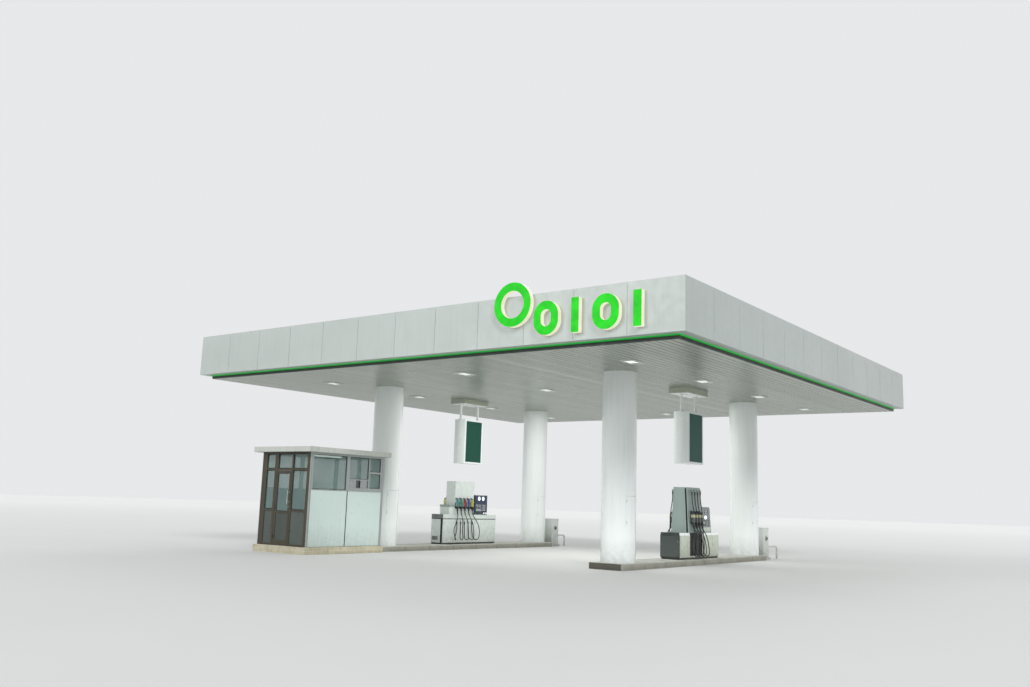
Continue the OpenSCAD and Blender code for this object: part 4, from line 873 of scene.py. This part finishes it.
def make_right_dispenser(m):
    doors, dark, steel, lens, glass, pads = pieces = [Piece() for _ in range(6)]
    middle, pitch = -0.118, 0.17
    for at in faces(PUMP_X):
        place(at, *pieces)
        for y in ((-1.07, -0.515), (0.28, 1.29)):
            cabinet_door(doors, steel, dark, y, (0.222, 0.765), (0.2895, 0.2925, 0.2922, 0.2958, 0.2945),
                         (0.045, 0.6), (0.3, 0.7))
        # Dividers between the nozzles, ribs down the hose bay
        for i in range(5):
            y = middle + (i - 2) * pitch
            pads.bar((0.2645, y - 0.006, 1.11), (0.274, y + 0.006, 1.44), 0.002)
            if 0 < i < 4:
                dark.bar((0.2695, y - 0.004, 0.25), (0.276, y + 0.004, 0.76), 0.001)
        pads.bar((0.2645, -0.43, 1.436), (0.272, 0.194, 1.449), 0.002)
        for i in range(4):
            y = middle + (i - 1.5) * pitch
            dark.boot(0.265, y, (1.092, 1.112, 1.25, 1.27))
            # Swivel where the hose leaves the tower
            steel.ring((0.25, y + 0.085, 1.948), (0, 0, 1), 0.0185, 0.0235, 0.016)
            steel.ring((0.25, y + 0.085, 1.99), (0, 0, 1), 0.0185, 0.0225, 0.012)
        # Head: screen, oval lamp, keys, card slot and a plate under them
        glass.bar((0.2152, 0.375, 1.35), (0.2205, 0.775, 1.48), 0.002)
        steel.frame((0.2152, 0.366, 1.341), (0.2262, 0.784, 1.489), 0, 0.01, 0.0015)
        lens.figures(0.2205, 0.44, (1.42, 1.362), 0.058, 0.042)
        dome = [(0, 0), (0, 0.085), (0.004, 0.083), (0.007, 0.06), (0.008, 0)]
        lens.turned((0.225, 0.6, 1.265), (1, 0, 0), dome, 40, flat=0.62)
        steel.ring((0.225, 0.6, 1.265), (1, 0, 0), 0.085, 0.094, 0.006, n=40, flat=0.62)
        glass.bar((0.2152, 0.372, 1.04), (0.2175, 0.818, 1.18), 0.001)
        pads.keypad((0.2172, 0.2225), (0.66, 1.052), (3, 3), (0.05, 0.042), (0.038, 0.031))
        pads.bar((0.2172, 0.4, 1.085), (0.2222, 0.6, 1.15), 0.003)
        dark.bar((0.2218, 0.43, 1.113), (0.2227, 0.57, 1.121), 0.0002)
        doors.bar((0.2245, 0.345, 0.872), (0.2275, 0.925, 0.995), 0.0015)
    for at in ends(PUMP_X, 0.11):
        place(at, steel, dark)
        dark.bar((-0.262, -1.2025, 0.222), (0.262, -1.1995, 0.765), 0.001)
        steel.disc((0.22, -1.202, 0.62), (0, -1, 0), 0.013, 0.004)
    doors.done("right_dispenser_doors", "pump_silver", m["pump_cabinet"])
    dark.done("right_dispenser_dark_parts", "pump_dark", m["charcoal"])
    steel.done("right_dispenser_steel", "handle_steel", m["handle_steel"])
    lens.done("right_dispenser_lamps", "lamp_lens", m["head_lamp"])
    glass.done("right_dispenser_screens", "pump_navy", m["screen"])
    pads.done("right_dispenser_keys", "pump_silver", m["keys"])


def make_hose_ends(m, routes):
    """Ribbed bend guards at both ends of every hose, thinner towards the hose."""
    p = Piece()
    start, taper, rib, step = 0.0215, 0.0075, 0.0016, 0.007
    for path in routes:
        for points, reach in ((path[::-1], 0.2), (path, 0.1)):
            done, row, radii = 0.0, [points[0]], [start]
            for a, b in zip(points, points[1:]):
                steps = max(2, round((b - a).length / step))
                for k in range(1, steps + 1):
                    q = a.lerp(b, k / steps)
                    done += (b - a).length / steps
                    row.append(q)
                    f = min(1.0, done / reach)
                    radii.append((start - taper * f) - (rib if len(row) % 3 == 0 else 0.0))
                if done >= reach:
                    break
            p.sleeve(row, radii, 12)
    p.done("hose_bend_guards", "nozzle_black", m["gasket"])


def make_service_box_trim(m):
    # Door sheet, lock and hinges on both sides, a round filler cap, a foot line and a lip round the lid
    doors, dark, steel = Piece(), Piece(), Piece()
    cap_z = 0.6435
    for x in (-PUMP_X, PUMP_X):
        place(Matrix.Translation((x, SERVICE_Y, 0)), doors, dark, steel)
        for side in (1, -1):
            doors.bar((side * 0.3095, -0.18, 0.09), (side * 0.313, 0.18, 0.945), 0.0015)
            steel.disc((side * 0.3128, 0.15, 0.45), (side, 0, 0), 0.013, 0.004)
            for z in (0.2, 0.52, 0.84):
                steel.rod((side * 0.314, -0.178, z - 0.03), (side * 0.314, -0.178, z + 0.03), 0.005, 10)
        dark.ring((0.31, 0, cap_z), (1, 0, 0), 0.0755, 0.086, 0.009)
        dark.disc((0.332, 0, cap_z), (1, 0, 0), 0.056, 0.006, 0.002)
        steel.disc((0.338, 0, cap_z), (1, 0, 0), 0.012, 0.004)
        dark.bar((-0.302, -0.202, 0.0605), (0.302, -0.2098, 0.076), 0.0005)
        doors.frame((-0.312, -0.212, 0.935), (0.312, 0.212, 0.968), 2, 0.006, 0.0015)
    doors.done("service_box_doors", "box_white", m["box_white"])
    dark.done("service_box_caps", "nozzle_black", m["gasket"])
    steel.done("service_box_steel", "handle_steel", m["handle_steel"])


def make_kiosk_trim(m):
    # Rubber gaskets on both faces of every pane
    for node, body in (("kiosk_glass", "station"), ("door_glass", "kiosk_door")):
        p = Piece()
        for lo, hi in islands_of(frame["nodes"][node]):
            thin = 0 if hi[0] - lo[0] < hi[1] - lo[1] else 1
            for end in (0, 1):
                a, b = list(lo), list(hi)
                a[thin], b[thin] = (hi[thin], hi[thin] + 0.006) if end else (lo[thin] - 0.006, lo[thin])
                p.frame(a, b, thin, 0.011, 0.002)
        p.done(node + "_gaskets", "nozzle_black", m["gasket"], body)
    # Dark strips in the seams between the wall sheets, angles at the corners
    dark, angle = Piece(), Piece()
    (x0, x1), (y0, y1), z0, z1 = KIOSK_X, KIOSK_Y, KIOSK_FLOOR, KIOSK_HEAD
    bottom, top, half = z0 + 0.012, z0 + SILL, 0.016
    mx, my = (x0 + x1) / 2, (y0 + y1) / 2
    for x, s in ((x1, 1), (x0, -1)):
        dark.bar((x, my - half, bottom), (x + s * 0.0115, my + half, top), 0.003)
    dark.bar((mx - half, y1, bottom), (mx + half, y1 + 0.0115, top), 0.003)
    # Pad under the middle post of the lane wall
    post = y0 + 1.365
    dark.bar((x1 - 0.055, post - 0.02, z0), (x1, post + 0.04, z0 + 0.001), 0.0002)
    for x, y, sx, sy in ((x1, y0, 1, -1), (x1, y1, 1, 1), (x0, y0, -1, -1), (x0, y1, -1, 1)):
        angle.bar((x, y - sy * 0.05, z0), (x + sx * 0.009, y + sy * 0.009, z1), 0.002)
        if sy > 0:
            angle.bar((x - sx * 0.05, y, z0), (x + sx * 0.009, y + sy * 0.009, z1), 0.002)
    # Sill along the windows and a drip edge under the roof slab
    for x, s in ((x1, 1), (x0, -1)):
        angle.bar((x - s * 0.002, y0 + 0.07, top), (x + s * 0.016, y1 - 0.02, top + 0.012), 0.002)
    angle.frame((x0 - 0.178, y0 - 0.178, z1 - 0.006), (x1 + 0.178, y1 + 0.088, z1), 2, 0.012)
    # Rail of the pay window
    rail = post + 0.055
    angle.bar((x1 - 0.052, rail, z0 + 1.58), (x1 - 0.008, rail + 0.7, z0 + 1.586), 0.001)
    angle.done("kiosk_edge_trim", "frame_silver", m["frame_silver"])
    dark.done("kiosk_seam_strips", "nozzle_black", m["gasket"])
    # Door: threshold, rosettes of the handle, and the lock with its slot
    lock_x, front = -4.109, y0
    p = Piece()
    p.bar((-4.678, -7.275, 0.185), (-4.07, -7.235, 0.189), 0.001)
    p.done("door_threshold", "handle_steel", m["handle_steel"])
    p = Piece()
    for z in (1.335, 1.595):
        p.disc((lock_x, front, z), (0, -1, 0), 0.017, 0.004)
    p.disc((lock_x, front, 1.21), (0, -1, 0), 0.014, 0.008)
    p.bar((lock_x - 0.0015, front - 0.0085, 1.203), (lock_x + 0.0015, front - 0.0078, 1.217), 0.0003)
    p.done("door_fittings", "handle_steel", m["handle_steel"], "kiosk_door")
    # End caps of the strip lamp under the roof
    lo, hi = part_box("kiosk_lamp")
    p = Piece()
    for y in (lo[1], hi[1]):
        s = -1 if y == lo[1] else 1
        p.bar((lo[0] - 0.004, y - s * 0.03, lo[2] - 0.004), (hi[0] + 0.004, y + s * 0.012, hi[2]), 0.003)
    p.done("kiosk_lamp_ends", "lamp_frame", m["lamp_frame"])


# Stage and light

FLOOR_R, FLOOR_AT = 170, (-20, 30, -0.001)
FADE, FADE_FROM, FADE_TO = 0.12, 14.0, 90.0  # the floor grows paler with distance, for the camera only
WORLD_LIGHT, WORLD_SEEN = (0.62, 0.64, 0.66, 1), (0.80, 0.81, 0.82, 1)
SUNS = (("key", (26, -20, 22), 1.5, 18), ("fill", (-14, -26, 12), 0.75, 30), ("back", (-8, 26, 20), 0.6, 30))
# Soft squares of light, up from the ground and down from the ceiling
LAMPS = (("under", 0.06, 5, 13, 190), ("canopy", 4.74, 0, 6.2, 320))


def make_stage():
    bm = bmesh.new()
    bmesh.ops.create_circle(bm, cap_ends=True, segments=96, radius=FLOOR_R)
    mesh = bpy.data.meshes.new("floor")
    bm.to_mesh(mesh)
    bm.free()
    floor = add("floor", mesh)
    floor.location = FLOOR_AT
    s = Mat("floor", rough=0.9)
    s.colour(s.spread(rgb("cfcfcd"), 0.2, 0.01))
    middle = (-FLOOR_AT[0], -FLOOR_AT[1], 0)
    away = s.node("VectorMath", {0: s.xyz, 1: middle}, operation="DISTANCE").outputs["Value"]
    seen = s.node("LightPath").outputs["Is Camera Ray"]
    s.b.inputs["Emission Color"].default_value = rgb("ffffff")
    fade = s.calc("MULTIPLY", s.remap(away, FADE_FROM, FADE_TO, 0.0, FADE), seen)
    s.put(s.b.inputs["Emission Strength"], fade)
    mesh.materials.append(s.m)
    world = bpy.data.worlds.new("studio")
    bpy.context.scene.world = world
    world.use_nodes = True
    nt = world.node_tree
    back = nt.nodes["Background"]
    path = nt.nodes.new("ShaderNodeLightPath")
    seen = path.outputs["Is Camera Ray"]
    for ray in ("Is Glossy Ray", "Is Transmission Ray"):
        either = nt.nodes.new("ShaderNodeMath")
        either.operation = "MAXIMUM"
        nt.links.new(seen, either.inputs[0])
        nt.links.new(path.outputs[ray], either.inputs[1])
        seen = either.outputs[0]
    mix = nt.nodes.new("ShaderNodeMix")
    mix.data_type = "RGBA"
    nt.links.new(seen, mix.inputs[0])
    mix.inputs[6].default_value = WORLD_LIGHT
    mix.inputs[7].default_value = WORLD_SEEN
    nt.links.new(mix.outputs[2], back.inputs[0])
    back.inputs[1].default_value = 1.0
    for name, at, strength, spread in SUNS:
        light(name, "SUN", at, (0, 0, 0), strength).data.angle = math.radians(spread)
    for name, z, to, size, watts in LAMPS:
        lamp = light(name, "AREA", (0, 0, z), (0, 0, to), watts)
        lamp.data.shape = "SQUARE"
        lamp.data.size = size
        lamp.visible_camera = lamp.visible_glossy = False


def light(name, kind, at, to, energy):
    data = bpy.data.lights.new(name, kind)
    data.energy = energy
    obj = add(name, data)
    obj.location = at
    obj.rotation_euler = (Vector(to) - Vector(at)).to_track_quat("-Z", "Y").to_euler()
    return obj


make_camera()
mats = build_materials()
hose_lengths = make_hoses(mats)
dress_nodes(mats)
make_roof_trim(mats)
make_column_fittings(mats)
make_light_box_trim(mats)
make_left_dispenser(mats)
make_right_dispenser(mats)
make_service_box_trim(mats)
make_kiosk_trim(mats)
make_stage()
bpy.context.scene.view_settings.view_transform = "Standard"

print("hoses", hose_lengths)
